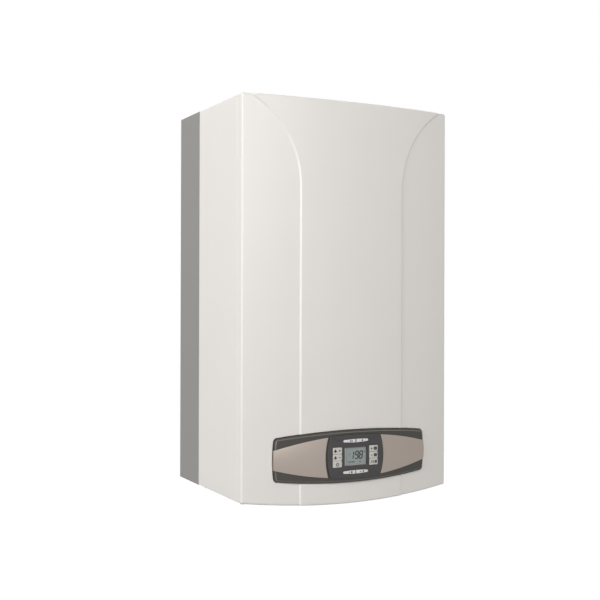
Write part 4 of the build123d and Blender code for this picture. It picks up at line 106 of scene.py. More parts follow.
def finish(name, skin, colour, *dressed, roughness, mottle=0.1, spread=0.05, scale=1500, relief=0.01,
           **constants):
    """Material of one finish, a skin pattern feeding a Principled shader, put on the CAD nodes dressed.

    colour is as seen on a screen, 0 to 255, and made linear: each channel over 255, to the
    power 2.2. scale is in cycles per metre, and relief is the pattern's depth in millimetres.
    """
    material = bpy.data.materials.new(name)
    material.use_nodes = True
    tree = material.node_tree
    shader = tree.nodes["Principled BSDF"].inputs
    for socket, value in constants.items():
        shader[socket.replace("_", " ")].default_value = value
    linear = (*(np.array(colour) / 255) ** SCREEN_GAMMA, 1.0)
    varied = add_node(tree, "Group", {"Colour": linear, "Mottle": mottle, "Roughness": roughness,
                                      "Spread": spread, "Scale": scale}, node_tree=skin).outputs
    bump = add_node(tree, "Bump", {"Strength": 1.0, "Distance": relief * MM, "Height": varied["Height"]})
    tree.links.new(varied["Colour"], shader["Base Color"])
    tree.links.new(varied["Roughness"], shader["Roughness"])
    tree.links.new(bump.outputs["Normal"], shader["Normal"])
    for node in dressed:
        nodes[node].material_slots[0].material = material
    return material


painted_skin = skin_pattern("painted_skin", grain(share=0.02, mask_detail=1, relief_detail=1))
finish("grey_paint", painted_skin, (139, 137, 133), "rear_frame", roughness=0.42, mottle=0.05,
       scale=500, relief=0.02)


# Pipe bracket, chamber, fan and gas pipes: bright galvanised steel, cut and folded or drawn
# to tube, with the faint crystal pattern of the zinc.

def zinc(group, point, scale):
    """Voronoi cells of random tone as the mask, and fine noise as the relief."""
    crystals = add_node(group, "TexVoronoi", {"Vector": point, "Scale": scale}).outputs["Color"]
    tone = add_node(group, "SeparateColor", {"Color": crystals}).outputs["Red"]
    return tone, noise(group, point, scale, share=6.0, detail=2)


zinc_skin = skin_pattern("zinc_skin", zinc)
finish("galvanised", zinc_skin, (200, 203, 205), "pipe_bracket", "sealed_chamber", "chamber_lid",
       "fan_housing", "fan_impeller", "gas_pipes", roughness=0.34, spread=0.07, scale=230, Metallic=1.0)


# Screws: pan heads with a pressed cross recess, in zinc plated steel. Four join the casing's
# sheets, and ten clamp the casing and hold the chamber's lid and the control box.

finish("screw_steel", painted_skin, (205, 205, 200), "chassis_screws", "cover_screws", roughness=0.3,
       spread=0.1, scale=900, Metallic=1.0)


# Connections: five stubs turned from brass bar, screwed in under the bracket. The safety
# valve is machined from brass too, and both keep fine streaks from the tool.

DRAWN_OUT = (0.03, 1.0, 1.0)


def streaks(group, point, scale):
    """Noise drawn out along X by a mapping, as mask and relief."""
    drawn = add_node(group, "Mapping", {"Vector": point, "Scale": DRAWN_OUT}).outputs["Vector"]
    lines = noise(group, drawn, scale, share=1.0, detail=2)
    return lines, lines


brushed_skin = skin_pattern("brushed_skin", streaks)
finish("brass", brushed_skin, (214, 178, 112), "connection_stubs", "safety_valve", roughness=0.26,
       mottle=0.12, spread=0.12, Metallic=1.0)


# Hydraulic blocks and control box: moulded in black glass-filled plastic. The valve's drive,
# the turbine, the pressure switch and the drain knob are grey, the filling knob blue and the
# safety valve's knob red.

moulded_skin = skin_pattern("moulded_skin", grain(share=0.05, mask_detail=2, relief_detail=4))
black_composite = finish(
    "black_composite", moulded_skin, (48, 48, 50), "flow_block", "return_block", "pump_impeller",
    "control_box", "control_box_cover", roughness=0.5, mottle=0.25, spread=0.1, relief=0.03)
finish("grey_plastic", moulded_skin, (196, 195, 190), "diverter_actuator", "flow_turbine",
       "air_pressure_switch", "drain_knob", roughness=0.48, mottle=0.08, spread=0.08, relief=0.02)
finish("blue_knob", moulded_skin, (40, 86, 160), "fill_knob", roughness=0.42, spread=0.08, relief=0.02)
finish("red_knob", moulded_skin, (180, 40, 34), "safety_knob", roughness=0.42, spread=0.08, relief=0.02)


# Plate exchanger, valve spindle, burner, firebox and hood: stainless steel, pressed or rolled,
# with a fine drawn streak.

finish("stainless", brushed_skin, (208, 208, 206), "plate_heat_exchanger", "diverter_spindle", "burner",
       "combustion_chamber", "smoke_hood", roughness=0.24, spread=0.12, scale=1200, Metallic=1.0)


# Pump, vessel, pipes and main exchanger: a cast iron pump painted nearly black, a steel
# vessel lacquered red, and bent copper tube with copper fins.

cast_skin = skin_pattern("cast_skin", grain(share=0.1, mask_detail=3, relief_detail=6))
finish("iron_paint", cast_skin, (52, 54, 58), "pump_body", roughness=0.45, mottle=0.25, spread=0.15,
       scale=600, relief=0.12)
finish("vessel_red", painted_skin, (168, 30, 30), "expansion_vessel", roughness=0.34, spread=0.08,
       scale=400, relief=0.03)
finish("copper", brushed_skin, (222, 150, 112), "water_pipes", "heat_exchanger", roughness=0.28,
       mottle=0.2, spread=0.15, scale=900, Metallic=1.0)


# Seal, boards, electrodes, castings, hoses and circuit boards: foam round the lid, ceramic
# fibre in the firebox, glazed ceramic sleeves, die cast valve, collar and motor, silicone
# hoses, and green lacquered boards.

finish("seal_foam", moulded_skin, (58, 58, 58), "lid_seal", roughness=0.85, mottle=0.3, spread=0.1,
       scale=900, relief=0.2)
finish("fibre_board", cast_skin, (226, 222, 210), "insulation_boards", roughness=0.9, mottle=0.12,
       scale=700, relief=0.2)
finish("ceramic", moulded_skin, (238, 236, 230), "electrodes", roughness=0.2, mottle=0.04, scale=900)
finish("die_cast", cast_skin, (176, 178, 180), "gas_valve", "flue_collar", "fan_motor", roughness=0.42,
       mottle=0.15, spread=0.15, scale=900, relief=0.05, Metallic=1.0)
finish("silicone", moulded_skin, (208, 206, 198), "sensing_hoses", roughness=0.5, spread=0.08,
       scale=900, relief=0.02)
finish("circuit_board", moulded_skin, (38, 92, 60), "main_board", "display_board", roughness=0.45,
       mottle=0.25, spread=0.1, relief=0.02)


# Front panel: one sheet of steel drawn to a shallow bow, with a raised middle that flares out
# to the top corners. Its edges fold back, and it is powder coated white with a soft gloss.

CASE_HALF = 225.0
CASE_TOP = 35.0
CASE_BASE = -728.0
CASE_CORNER_DEPTH = 316.0
CASE_BULGE = 18.0
LIP_DROOP = 14.4
FIELD_HALF = 112.5
FIELD_RAISE = 2.5
FIELD_STEP = 3.0
FLARE_START = CASE_TOP - 165.0
FLARE_RADIUS = 185.0
FRONT_FOLD = 4.0
FACE_HALF = CASE_HALF - FRONT_FOLD
FACE_TOP = CASE_TOP - FRONT_FOLD
RETURN_END = 294.0
SHEET = 0.9
SHEET_CREASE = 18
PANEL_MIDDLE = -637.7
PANEL_HALF = 165.0
PANEL_END_BOW = 3.0
PANEL_CROWN = 49.0
PANEL_CORNER_HEIGHT = 39.5
PANEL_CORNER_R = 6.5
PANEL_GAP = 0.8
OPENING_ROLL = 1.2
OPENING_FLANGE = 4.0
OPENING = PANEL_GAP + OPENING_ROLL
FORWARD = (0, -1, 0)
TURN_STEPS = 6
CORNER_FAN = 5
SMOOTH_JOINT = 0.97
SAME_POINT = 1e-6
MERGE = 2e-6
NO_LENGTH = 1e-7


def arc_radius(half_chord, rise):
    """Radius of an arc: half chord squared plus rise squared, over twice the rise."""
    return (half_chord ** 2 + rise ** 2) / (2 * rise)


CASE_RADIUS = arc_radius(CASE_HALF, CASE_BULGE)
LIP_RADIUS = arc_radius(CASE_HALF, LIP_DROOP)
CROWN_ARC = arc_radius(PANEL_HALF - PANEL_END_BOW, PANEL_CROWN - PANEL_CORNER_HEIGHT)
END_ARC = arc_radius(PANEL_CORNER_HEIGHT, PANEL_END_BOW)


def case_depth(x):
    """Depth of the bowed front: an upright cylinder's, the root of radius squared less x squared."""
    return CASE_CORNER_DEPTH + CASE_BULGE - CASE_RADIUS + np.sqrt(CASE_RADIUS ** 2 - x ** 2)


def panel_corner():
    """Centre of the panel's corner arc, found by going to and fro between both neighbours' circles."""
    x = PANEL_HALF
    for _ in range(30):
        z = PANEL_CROWN - CROWN_ARC + sqrt((CROWN_ARC - PANEL_CORNER_R) ** 2 - x ** 2)
        x = PANEL_HALF - END_ARC + sqrt((END_ARC - PANEL_CORNER_R) ** 2 - z ** 2)
    return x, z


CORNER_X, CORNER_Z = panel_corner()


def panel_turn(gap):
    """Middle of the upper right corner's arc, where the top edge hands over to the end."""
    reach = (PANEL_CORNER_R + gap) * sqrt(0.5)
    return CORNER_X + reach, CORNER_Z + reach


def rounded_edge(place, gap, peak, radius, corner_along, corner_across):
    """Edge of the panel, moved out by a gap: a circle's, or the corner's past its tangent point."""
    circle = peak - radius + np.sqrt((radius + gap) ** 2 - place ** 2)
    reach = np.maximum((PANEL_CORNER_R + gap) ** 2 - (np.abs(place) - corner_along) ** 2, 0)
    tangent = corner_along * (radius + gap) / (radius - PANEL_CORNER_R)
    return np.where(np.abs(place) < tangent, circle, corner_across + np.sqrt(reach))


def top_line(gap):
    """Guide line z(x) of the panel's upper edge, moved out by a gap and level past its corners."""
    turn = panel_turn(gap)[0]
    return lambda x: rounded_edge(np.clip(x, -turn, turn), gap, PANEL_CROWN, CROWN_ARC, CORNER_X, CORNER_Z)


def end_line(gap):
    """Guide line x(z) of the panel's right end, moved out by a gap and upright past its corners."""
    turn = panel_turn(gap)[1]
    return lambda z: rounded_edge(np.clip(z, -turn, turn), gap, PANEL_HALF, END_ARC, CORNER_Z, CORNER_X)


def mirrored(lines):
    """Guide lines for both sides: each line's mirror image, then the lines from the last back."""
    return [lambda place, line=line: -line(place) for line in lines] + lines[::-1]


def steps_between(counts):
    """Stretch number and fraction of every grid line, ends included.

    The fractions are half of 1 less a cosine, so the lines crowd at both ends of a stretch.
    """
    stretch = np.repeat(np.arange(len(counts)), np.array(counts) + 1)
    return stretch, np.concatenate([(1 - np.cos(np.linspace(0, pi, count + 1))) / 2 for count in counts])


def blend(lines, place, stretch, share):
    """Grid lines between guide lines: each one its share of the way from its stretch's first line."""
    guides = np.array([line(place) + 0 * place for line in lines])
    share = share[:, None]
    own = np.arange(len(stretch))
    return guides[stretch, own] * (1 - share) + guides[stretch + 1, own] * share


def lattice(across, across_steps, upward, upward_steps):
    """Points where two families of guide lines cross, with each line's stretch number.

    across holds functions x(z) from left to right and upward functions z(x) from bottom to
    top. Lines in between are linear blends of their neighbours, and the crossings are found
    by going to and fro between both families until they agree.
    """
    columns, rows = steps_between(across_steps), steps_between(upward_steps)
    x = np.zeros((len(rows[0]), len(columns[0])))
    for _ in range(25):
        z = blend(upward, x, *rows)
        x = blend(across, z.T, *columns).T
    return x, z, columns[0], rows[0]


def cells(rows, columns):
    """Mask of the grid's cells whose four corners lie in the given rows and columns."""
    return (rows[:-1] & rows[1:])[:, None] & (columns[:-1] & columns[1:])[None, :]


def border(face):
    """The four edges of a grid of points, run with the sheet on their left."""
    return [face[0], face[:, -1], face[-1, ::-1], face[::-1, 0]]


def fold(edges, bow, radius, floor):
    """Rounded turn along a closed run of edges, and a flange straight back from it.

    The edges run with the sheet on their left. From each point the turn goes round a centre one
    radius behind the surface, from the surface's normal to the edge's outward direction. The
    normal is that of an upright cylinder, x over the radius bow across and the root of 1 less
    its square forward. The flange ends at the depth that floor gives for each point.
    """
    path, out = [], []
    for edge in edges:
        edge = edge[np.r_[True, np.linalg.norm(np.diff(edge, axis=0), axis=1) > SAME_POINT]]
        run = np.gradient(edge[:, ::2], axis=0)
        side = np.c_[run[:, 1], -run[:, 0]]
        path.append(edge)
        out.append(side / np.linalg.norm(side, axis=1)[:, None])
    corners, bends = [], []
    for place in range(len(edges)):
        following = out[(place + 1) % len(edges)]
        first, last = out[place][-1], following[0]
        count = CORNER_FAN
        if first @ last > SMOOTH_JOINT:
            count = 0
            out[place][-1] = following[0] = (first + last) / np.linalg.norm(first + last)
        share = np.linspace(0, 1, count)[:, None]
        bend = first * (1 - share) + last * share
        bends.append(bend / np.linalg.norm(bend, axis=1)[:, None])
        corners.append(np.repeat(path[place][-1:], count, axis=0))
    path = np.concatenate([part for pair in zip(path, corners) for part in pair])
    out = np.concatenate([part for pair in zip(out, bends) for part in pair])
    out = np.c_[out[:, 0], 0 * out[:, 0], out[:, 1]]
    across = path[:, 0] / bow
    start = np.c_[across, np.sqrt(1 - across ** 2), 0 * across]
    cosine = (out * start).sum(axis=1)[:, None]
    along = (out - start * cosine) / np.sqrt(1 - cosine ** 2)
    angle = np.linspace(0, 1, TURN_STEPS + 1)[:, None, None] * np.arccos(cosine)
    ring = path - radius * start + radius * (start * np.cos(angle) + along * np.sin(angle))
    flange = ring[-1:].copy()
    flange[..., 1] = floor(path)
    ring = np.concatenate([ring, flange])
    return np.concatenate([ring, ring[:, :1]], axis=1)


def piece(name, patches, material, body, slot, *replaced, facing=None, wall=0, crease=35):
    """Object made of grids of points: the four corners of every cell make a face.

    A patch is a grid, or a grid with the cells to keep. Meeting points are merged, and the
    faces turned outwards, towards facing where the surface is open. wall thickens it inwards,
    in millimetres, and edges bent by more than crease degrees, or left open, shade as sharp.
    """
    points, faces, count = [], [], 0
    for patch in patches:
        grid, kept = patch if isinstance(patch, tuple) else (patch, slice(None))
        index = count + np.arange(grid[..., 0].size).reshape(grid.shape[:2])
        corners = [index[:-1, :-1], index[:-1, 1:], index[1:, 1:], index[1:, :-1]]
        faces.append(np.stack(corners, axis=-1)[kept].reshape(-1, 4))
        points.append(grid.reshape(-1, 3))
        count += index.size
    points = np.concatenate(points) * (MM, -MM, MM)
    mesh = bpy.data.meshes.new(name)
    mesh.from_pydata(points.tolist(), [], np.concatenate(faces).tolist())
    shape = bmesh.new()
    shape.from_mesh(mesh)
    bmesh.ops.remove_doubles(shape, verts=shape.verts, dist=MERGE)
    bmesh.ops.dissolve_degenerate(shape, edges=shape.edges, dist=NO_LENGTH)
    bmesh.ops.recalc_face_normals(shape, faces=shape.faces)
    if facing is not None:
        total = sum((face.normal * face.calc_area() for face in shape.faces), Vector())
        if total.dot(Vector(facing)) < 0:
            bmesh.ops.reverse_faces(shape, faces=shape.faces)
    for edge in shape.edges:
        edge.smooth = edge.calc_face_angle(pi) < radians(crease)
    shape.to_mesh(mesh)
    shape.free()
    mesh.shade_smooth()
    mesh.materials.append(material)
    thing = bpy.data.objects.new(name, mesh)
    bpy.context.scene.collection.objects.link(thing)
    if wall:
        solid = thing.modifiers.new("wall", "SOLIDIFY")
        solid.thickness = wall * MM
        solid.offset = -1
    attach(thing, body)
    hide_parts(*replaced)


def field_half(z):
    """Half width of the raised middle: upright, then a circle's flare above its start."""
    rise = np.maximum(z - FLARE_START, 0)
    return FIELD_HALF + FLARE_RADIUS - np.sqrt(FLARE_RADIUS ** 2 - rise ** 2)


def step_width(z):
    """Width of the step beside the field, level with X: wider where the flare slants."""
    rise = np.maximum(z - FLARE_START, 0)
    return FIELD_STEP * FLARE_RADIUS / np.sqrt(FLARE_RADIUS ** 2 - rise ** 2)


opening_end, opening_top = end_line(OPENING), top_line(OPENING)
opening_x, opening_z = panel_turn(OPENING)


def opening_side(z):
    """X of the opening's end beside the panel, and above it a line that follows the flare."""
    level = z - PANEL_MIDDLE
    flare = (field_half(z) - FIELD_HALF) / (FACE_HALF - FIELD_HALF)
    above = opening_x + (FACE_HALF - opening_x) * flare
    return np.where(np.abs(level) <= opening_z + SAME_POINT, opening_end(level), above)


across = mirrored([lambda z: FACE_HALF, opening_side, field_half, lambda z: field_half(z) - step_width(z)])
upward = [
    lambda x: CASE_BASE + LIP_RADIUS - np.sqrt((LIP_RADIUS - FRONT_FOLD) ** 2 - x ** 2),
    lambda x: PANEL_MIDDLE - opening_top(x), lambda x: PANEL_MIDDLE + opening_top(x), lambda x: FACE_TOP,
]
x, z, column, row = lattice(across, (8, 24, 8, 36, 8, 24, 8), upward, (14, 30, 84))
climbed = np.clip((field_half(z) - np.abs(x)) / step_width(z), 0, 1)
softened = (climbed + climbed ** 2 * (3 - 2 * climbed)) / 2
face = np.stack([x, case_depth(x) + FIELD_RAISE * softened, z], axis=-1)
opening_rows, opening_columns = row == 1, (column >= 1) & (column <= 5)
opening = face[np.ix_(opening_rows, opening_columns)]
white_paint = finish("white_paint", painted_skin, (241, 237, 232), roughness=0.34, mottle=0.03,
                     spread=0.06, scale=450, relief=0.02)
piece("front_sheet", [
    (face, ~cells(opening_rows, opening_columns)),
    fold(border(face), CASE_RADIUS, FRONT_FOLD, lambda path: RETURN_END),
    fold(border(opening[::-1]), CASE_RADIUS, OPENING_ROLL, lambda path: path[:, 1] - OPENING_FLANGE),
], white_paint, "cover", "white_paint", "front_panel", facing=FORWARD, wall=SHEET, crease=SHEET_CREASE)


# Side panels: folded sheets of the same white steel. Each has rims along its top and bottom,
# an open slot for a clamp screw, a step inwards behind the front's folded edge, and a narrow
# fold at its rear.

SIDE_REAR = 106.3
SIDE_FRONT = 293.7
SIDE_LOW = -713.6
SIDE_RIM = 20.0
SIDE_BEND = 2.5
SIDE_STEP = 1.2
SIDE_LIP = 308.0
SIDE_LIP_ROUND = 2.9
REAR_EASE = np.array([(0.0, 0.45), (0.2, 0.15), (0.5, 0.0)])
FRONT_STEP = np.array([(-0.8, 0.0), (-0.3, 0.04), (0.0, 0.2), (0.1, 0.6), (0.4, SIDE_STEP)])
SIDE_REAR_FOLD = 12.0
SIDE_FOLD_SET = 1.0
SIDE_FOLD_CLEAR = 14.0
SLOT_X = 213.8
SLOT_HALF = 2.8
SLOT_END = 128.0
PLATE_START = 140.0
REAR_FLAT = SIDE_REAR + 2.0
FRONT_FLAT = SIDE_FRONT + 1.5
SIDES = ((-1, "left"), (1, "right"))

# The plate's loop runs from the lower rim round both bends to the upper rim, and is carried
# from the rear to the lip while REAR_EASE and FRONT_STEP, pairs of depth and inset, draw it in.
quarter = np.linspace(0, pi / 2, 7)
rear_depth, step_depth = SIDE_REAR + REAR_EASE[:, 0], SIDE_FRONT + FRONT_STEP[:, 0]
depth = np.concatenate([
    rear_depth, np.linspace(REAR_FLAT, SLOT_END, 4), SLOT_END + SLOT_HALF * np.sin(quarter[1:]),
    np.linspace(PLATE_START, step_depth[0], 12), step_depth[1:], [FRONT_FLAT, SIDE_LIP]])
inset = np.interp(depth, np.r_[rear_depth, step_depth], np.r_[REAR_EASE[:, 1], FRONT_STEP[:, 1]])[:, None]
slot = np.sqrt(np.maximum(SLOT_HALF ** 2 - np.maximum(depth - SLOT_END, 0) ** 2, 0))[:, None]
bend_x = CASE_HALF - SIDE_BEND + SIDE_BEND * np.sin(quarter)
bend_z = SIDE_BEND - SIDE_BEND * np.cos(quarter)
rim_x = np.r_[CASE_HALF - SIDE_RIM, SLOT_X + SLOT_HALF * np.array([-1, -1, 0, 1, 1])]
rise = np.linspace(SIDE_LOW + SIDE_BEND, CASE_TOP - SIDE_BEND, 30)[1:-1]
loop_x = np.r_[rim_x, bend_x, np.full(len(rise), CASE_HALF), bend_x[::-1], CASE_HALF - SIDE_RIM]
loop_z = np.r_[np.full(len(rim_x), SIDE_LOW), SIDE_LOW + bend_z, rise, CASE_TOP - bend_z[::-1], CASE_TOP]
x = np.minimum(loop_x, CASE_HALF - inset)
x[:, 1:3] = SLOT_X - slot
x[:, 4:6] = SLOT_X + slot
z = np.clip(loop_z, SIDE_LOW + inset, CASE_TOP - inset)
past_x, past_z = np.maximum(x - FACE_HALF, 0), np.maximum(z - FACE_TOP, 0)
pull = 1 - SIDE_LIP_ROUND / np.maximum(np.hypot(past_x, past_z), SIDE_LIP_ROUND)
pull = pull * (past_x > 0) * (past_z > 0) * (inset >= SIDE_STEP)
x, z = x - past_x * pull, z - past_z * pull
plate = np.stack([x, np.broadcast_to(depth[:, None], x.shape), z], axis=-1)
kept = np.ones((len(depth) - 1, len(loop_x) - 1), bool)
kept[depth[1:] <= SLOT_END + SLOT_HALF + SAME_POINT, 1:4] = False
x, z = np.meshgrid(np.linspace(CASE_HALF - SIDE_FOLD_SET, CASE_HALF - SIDE_REAR_FOLD, 5),
                   np.linspace(SIDE_LOW + SIDE_FOLD_CLEAR, CASE_TOP - SIDE_FOLD_CLEAR, 12))
rear_fold = np.stack([x, np.full(x.shape, SIDE_REAR + SIDE_FOLD_SET), z], axis=-1)
for side, side_name in SIDES:
    piece(side_name + "_side_sheet", [(plate * (side, 1, 1), kept)], white_paint, "cover", "white_paint",
          side_name + "_side_panel", facing=(side, 0, 0), wall=SHEET)
    piece(side_name + "_side_rear_fold", [rear_fold * (side, 1, 1)], white_paint, "cover", "white_paint",
          facing=FORWARD, wall=SHEET)


# Control panel moulding: dark olive ABS with a fine spark-eroded grain. It has a sloped rim, a
# shallow recess for each metallic wing, and a deep pocket for the removable controller.

PANEL_APEX = 343.0
PANEL_BULGE = 14.5
PANEL_RADIUS = arc_radius(PANEL_HALF, PANEL_BULGE)
BEZEL_BACK = 304.0
BEZEL_EDGE = 1.0
BEZEL_WALL = 1.2
RIM_STEP = 1.5
RIM_WIDTH = 2.4
RIM_SLOPE = 1.5
RIM_WALL = 0.6
WING_RECESS = 2.2
WING_GAP = 0.2
WING_CLEAR = 0.9
TUCK_START = PANEL_HALF - 8.0
TUCK_RUN = 2.0
POCKET_DEPTH = 319.7
POCKET_GAP = 0.4
POCKET_WALL = 2.9
SHOULDER = 38.0
CONTROLLER_HALF = 53.5
CONTROLLER_BOW = 6.8
CONTROLLER_TOP = 39.5
CONTROLLER_CROWN = 1.5
CONTROLLER_RADIUS = arc_radius(CONTROLLER_TOP, CONTROLLER_BOW)
CROWN_RADIUS = arc_radius(CONTROLLER_HALF, CONTROLLER_CROWN)
CROWN_REACH = CONTROLLER_HALF + 8.0
WING_LINE = ((56.9, SHOULDER), (108.0, 31.0), (162.5, 19.0))


def panel_depth(x, offset=0.0):
    """Depth of the control panel's cylinder at x, moved forward by an offset."""
    return PANEL_APEX - PANEL_RADIUS + np.sqrt((PANEL_RADIUS + offset) ** 2 - x ** 2)


def arc_through(first, second, third):
    """Centre and radius of the circle through three points, from its two chords' normals."""
    first, second, third = map(np.array, (first, second, third))
    sides = 2 * np.array([second - first, third - first])
    centre = np.linalg.solve(sides, [second @ second - first @ first, third @ third - first @ first])
    return centre, np.linalg.norm(centre - first)


wing_centre, wing_radius = arc_through(*WING_LINE)


def controller_side(z, gap):
    """X of the controller's bowed side at height z above the panel's middle, moved out by a gap."""
    arc = np.sqrt((CONTROLLER_RADIUS + gap) ** 2 - z ** 2)
    return CONTROLLER_HALF + CONTROLLER_BOW - CONTROLLER_RADIUS + arc


def controller_top(x, gap):
    """Height of the controller's upper edge at x, a circle that meets its corners."""
    arc = np.sqrt((CROWN_RADIUS + gap) ** 2 - np.minimum(np.abs(x), CROWN_REACH) ** 2)
    return CONTROLLER_TOP + CONTROLLER_CROWN - CROWN_RADIUS + arc


def wing_top(x, gap):
    """Height of a wing's upper edge at x."""
    reach = np.minimum(np.abs(x), PANEL_HALF)
    return wing_centre[1] + np.sqrt((wing_radius + gap) ** 2 - (reach - wing_centre[0]) ** 2)


def wing_inner(z, gap):
    """X of a wing's inner edge, which follows the pocket's wall."""
    return controller_side(z, POCKET_WALL - gap)


def recess_top(x):
    """Upper edge of the recesses: the pocket's, the wings', and a blend over the wall between."""
    start, end = controller_side(SHOULDER, POCKET_GAP), wing_inner(SHOULDER, WING_GAP)
    share = np.clip((np.abs(x) - start) / (end - start), 0, 1)
    return controller_top(x, POCKET_GAP) * (1 - share) + wing_top(x, WING_GAP) * share


def climb(steps):
    """Share of the rim's step climbed at each grid line: its place from the nearer end, less 1."""
    place = sum(steps_between(steps))
    return np.clip(np.minimum(place, len(steps) - place) - 1, 0, 1)


insets = (BEZEL_EDGE, RIM_WIDTH, RIM_WIDTH + RIM_SLOPE)
across = mirrored([end_line(-inset) for inset in insets]
                  + [lambda z: wing_inner(z, WING_GAP), lambda z: controller_side(z, POCKET_GAP)])
upward = mirrored([top_line(-inset) for inset in insets] + [recess_top])
across_steps, upward_steps = (2, 2, 44, 2, 36, 2, 44, 2, 2), (2, 2, 10, 36, 10, 2, 2)
x, z, column, row = lattice(across, across_steps, upward, upward_steps)
middle_row = (row == 3)[:, None]
in_wing = np.isin(column, (0, 1, 2, 6, 7, 8)) & middle_row
level = RIM_STEP * (np.minimum(climb(across_steps), climb(upward_steps)[:, None]) - 1)
depth = panel_depth(x) + np.where(in_wing, -WING_RECESS, level)
depth = np.where((column == 4) & middle_row, POCKET_DEPTH, depth)
tuck = np.clip((wing_top(x, 0) - np.abs(z)) / TUCK_RUN, 0, 1) * (np.abs(x) > TUCK_START)
face = np.stack([x - np.sign(x) * WING_CLEAR * in_wing * tuck, depth, z + PANEL_MIDDLE], axis=-1)
inner_rows, inner_columns = (row >= 1) & (row <= 5), (column >= 1) & (column <= 7)
slope = cells(np.isin(row, (1, 5)), inner_columns) | cells(inner_rows & (row != 3), np.isin(column, (1, 7)))
olive_plastic = finish("olive_plastic", moulded_skin, (58, 55, 50), roughness=0.4, spread=0.06,
                       scale=2200, relief=0.02)
# The sloped rim is coloured lighter than the olive face all round. This is a painted highlight for the light
# its chamfer catches.
rim_painted_highlight = finish("rim_painted_highlight", moulded_skin, (106, 103, 95), roughness=0.34, mottle=0.05, scale=2200)
piece("panel_rim", [(face, slope)], rim_painted_highlight, "chassis", "olive_plastic", facing=FORWARD, wall=RIM_WALL)
piece("panel_moulding", [
    (face, ~slope), fold(border(face), PANEL_RADIUS, BEZEL_EDGE, lambda path: BEZEL_BACK),
], olive_plastic, "chassis", "olive_plastic", "bezel", facing=FORWARD, wall=BEZEL_WALL)


# Wings: two thin inlays with a champagne metallic lacquer, pressed into the moulding and
# wrapped round its ends.

WING_EDGE = 0.8
WING_CROWN = 1.0
WING_BACK = 306.0
WING_FLANGE = 2.0
WING_WRAP = PANEL_HALF - 2.0
WING_WALL = 0.8

champagne = finish("champagne_metallic", brushed_skin, (165, 154, 145), roughness=0.36,
                   mottle=0.06, spread=0.1, scale=700, relief=0.005, Metallic=0.55)
across = [lambda z: wing_inner(z, -WING_EDGE), end_line(-WING_EDGE)]
upward = [lambda x: -wing_top(x, -WING_EDGE), lambda x: wing_top(x, -WING_EDGE)]
x, z = lattice(across, (44,), upward, (30,))[:2]
crown = WING_CROWN * (1 - (z / wing_top(x, -WING_EDGE)) ** 2)
face = np.stack([x, panel_depth(x) + crown, z + PANEL_MIDDLE], axis=-1)
edge = fold(border(face), PANEL_RADIUS, WING_EDGE,
            lambda path: np.where(path[:, 0] > WING_WRAP, WING_BACK, path[:, 1] - WING_FLANGE))
for (side, side_name), stands_for in zip(SIDES, ((), ("bezel_wings",))):
    mirror = (side, 1, 1)
    piece(side_name + "_wing", [face * mirror, edge * mirror], champagne, "chassis", "champagne_metallic",
          *stands_for, facing=FORWARD, wall=WING_WALL)


# Controller: the removable unit in the middle, an aubergine grey shell with windows for the
# display and for ten keys. Fine creases climb from the slim keys to its corners.

CONTROLLER_PROUD = 2.0
CONTROLLER_EDGE = 1.0
CONTROLLER_BACK = 320.0
CONTROLLER_WALL = 1.8
DISPLAY_HALF_X = 24.0
DISPLAY_HALF_Z = 17.0
KEY_ROWS = (12.3, -0.3, -12.9)
KEY_X = 39.5
KEY_HALF_X = 9.5
KEY_HALF_Z = 6.0
KEY_GAP = 0.3
STRIP_Z = 29.5
STRIP_INNER = 1.0
STRIP_OUTER = 27.0
STRIP_HALF = 3.4
STRIP_END_HALF = 2.3
STRIP_TURN = STRIP_OUTER - STRIP_END_HALF
CREASE_RUN = 22.0
CREASE_RISE = 7.4
CREASE_POWER = 1.5
CREASE_HALF = 0.45
CREASE_DEPTH = 0.35


def strip_half(x, gap):
    """Half height of a strip key at x: a taper, then the round of its outer end."""
    reach = np.abs(x)
    taper = STRIP_HALF + (STRIP_END_HALF - STRIP_HALF) * (reach - STRIP_INNER) / (STRIP_TURN - STRIP_INNER)
    end = STRIP_END_HALF + gap
    round_end = np.sqrt(np.maximum(end ** 2 - np.maximum(reach - STRIP_TURN, 0) ** 2, 0))
    return np.where(reach < STRIP_TURN, np.maximum(taper, STRIP_END_HALF) + gap, round_end)


def groove_middle(x):
    """Height of the strip keys' middle, and past their ends that of the crease to the corners."""
    reach = np.clip((np.abs(x) - STRIP_OUTER - KEY_GAP) / CREASE_RUN, 0, 1)
    return STRIP_Z + CREASE_RISE * reach ** CREASE_POWER


def groove_edge(x, way):
    """Edge of a strip key's window, or of the crease past it: the middle plus or minus a half height."""
    return groove_middle(x) + way * np.maximum(strip_half(x, KEY_GAP), CREASE_HALF)


across = mirrored([
    lambda z: controller_side(z, -CONTROLLER_EDGE), lambda z: KEY_X + KEY_HALF_X + KEY_GAP,
    lambda z: KEY_X - KEY_HALF_X - KEY_GAP, lambda z: STRIP_OUTER + KEY_GAP, lambda z: STRIP_TURN,
    lambda z: DISPLAY_HALF_X, lambda z: STRIP_INNER - KEY_GAP,
])
upward = [
    lambda x: -controller_top(x, -CONTROLLER_EDGE), lambda x: -groove_edge(x, 1),
    lambda x: -groove_edge(x, -1), lambda x: KEY_ROWS[2] - KEY_HALF_Z - KEY_GAP, lambda x: -DISPLAY_HALF_Z,
    lambda x: DISPLAY_HALF_Z, lambda x: KEY_ROWS[0] + KEY_HALF_Z + KEY_GAP,
    lambda x: groove_edge(x, -1), lambda x: groove_edge(x, 1), lambda x: controller_top(x, -CONTROLLER_EDGE),
]
upward_steps = (6, 4, 4, 1, 12, 1, 4, 4, 6)
x, z, column, row = lattice(across, (6, 8, 2, 8, 1, 12, 2, 12, 1, 8, 2, 8, 6), upward, upward_steps)
hole = cells(row == 4, np.isin(column, (5, 6, 7)))
hole |= cells(np.isin(row, (3, 4, 5)), np.isin(column, (1, 11)))
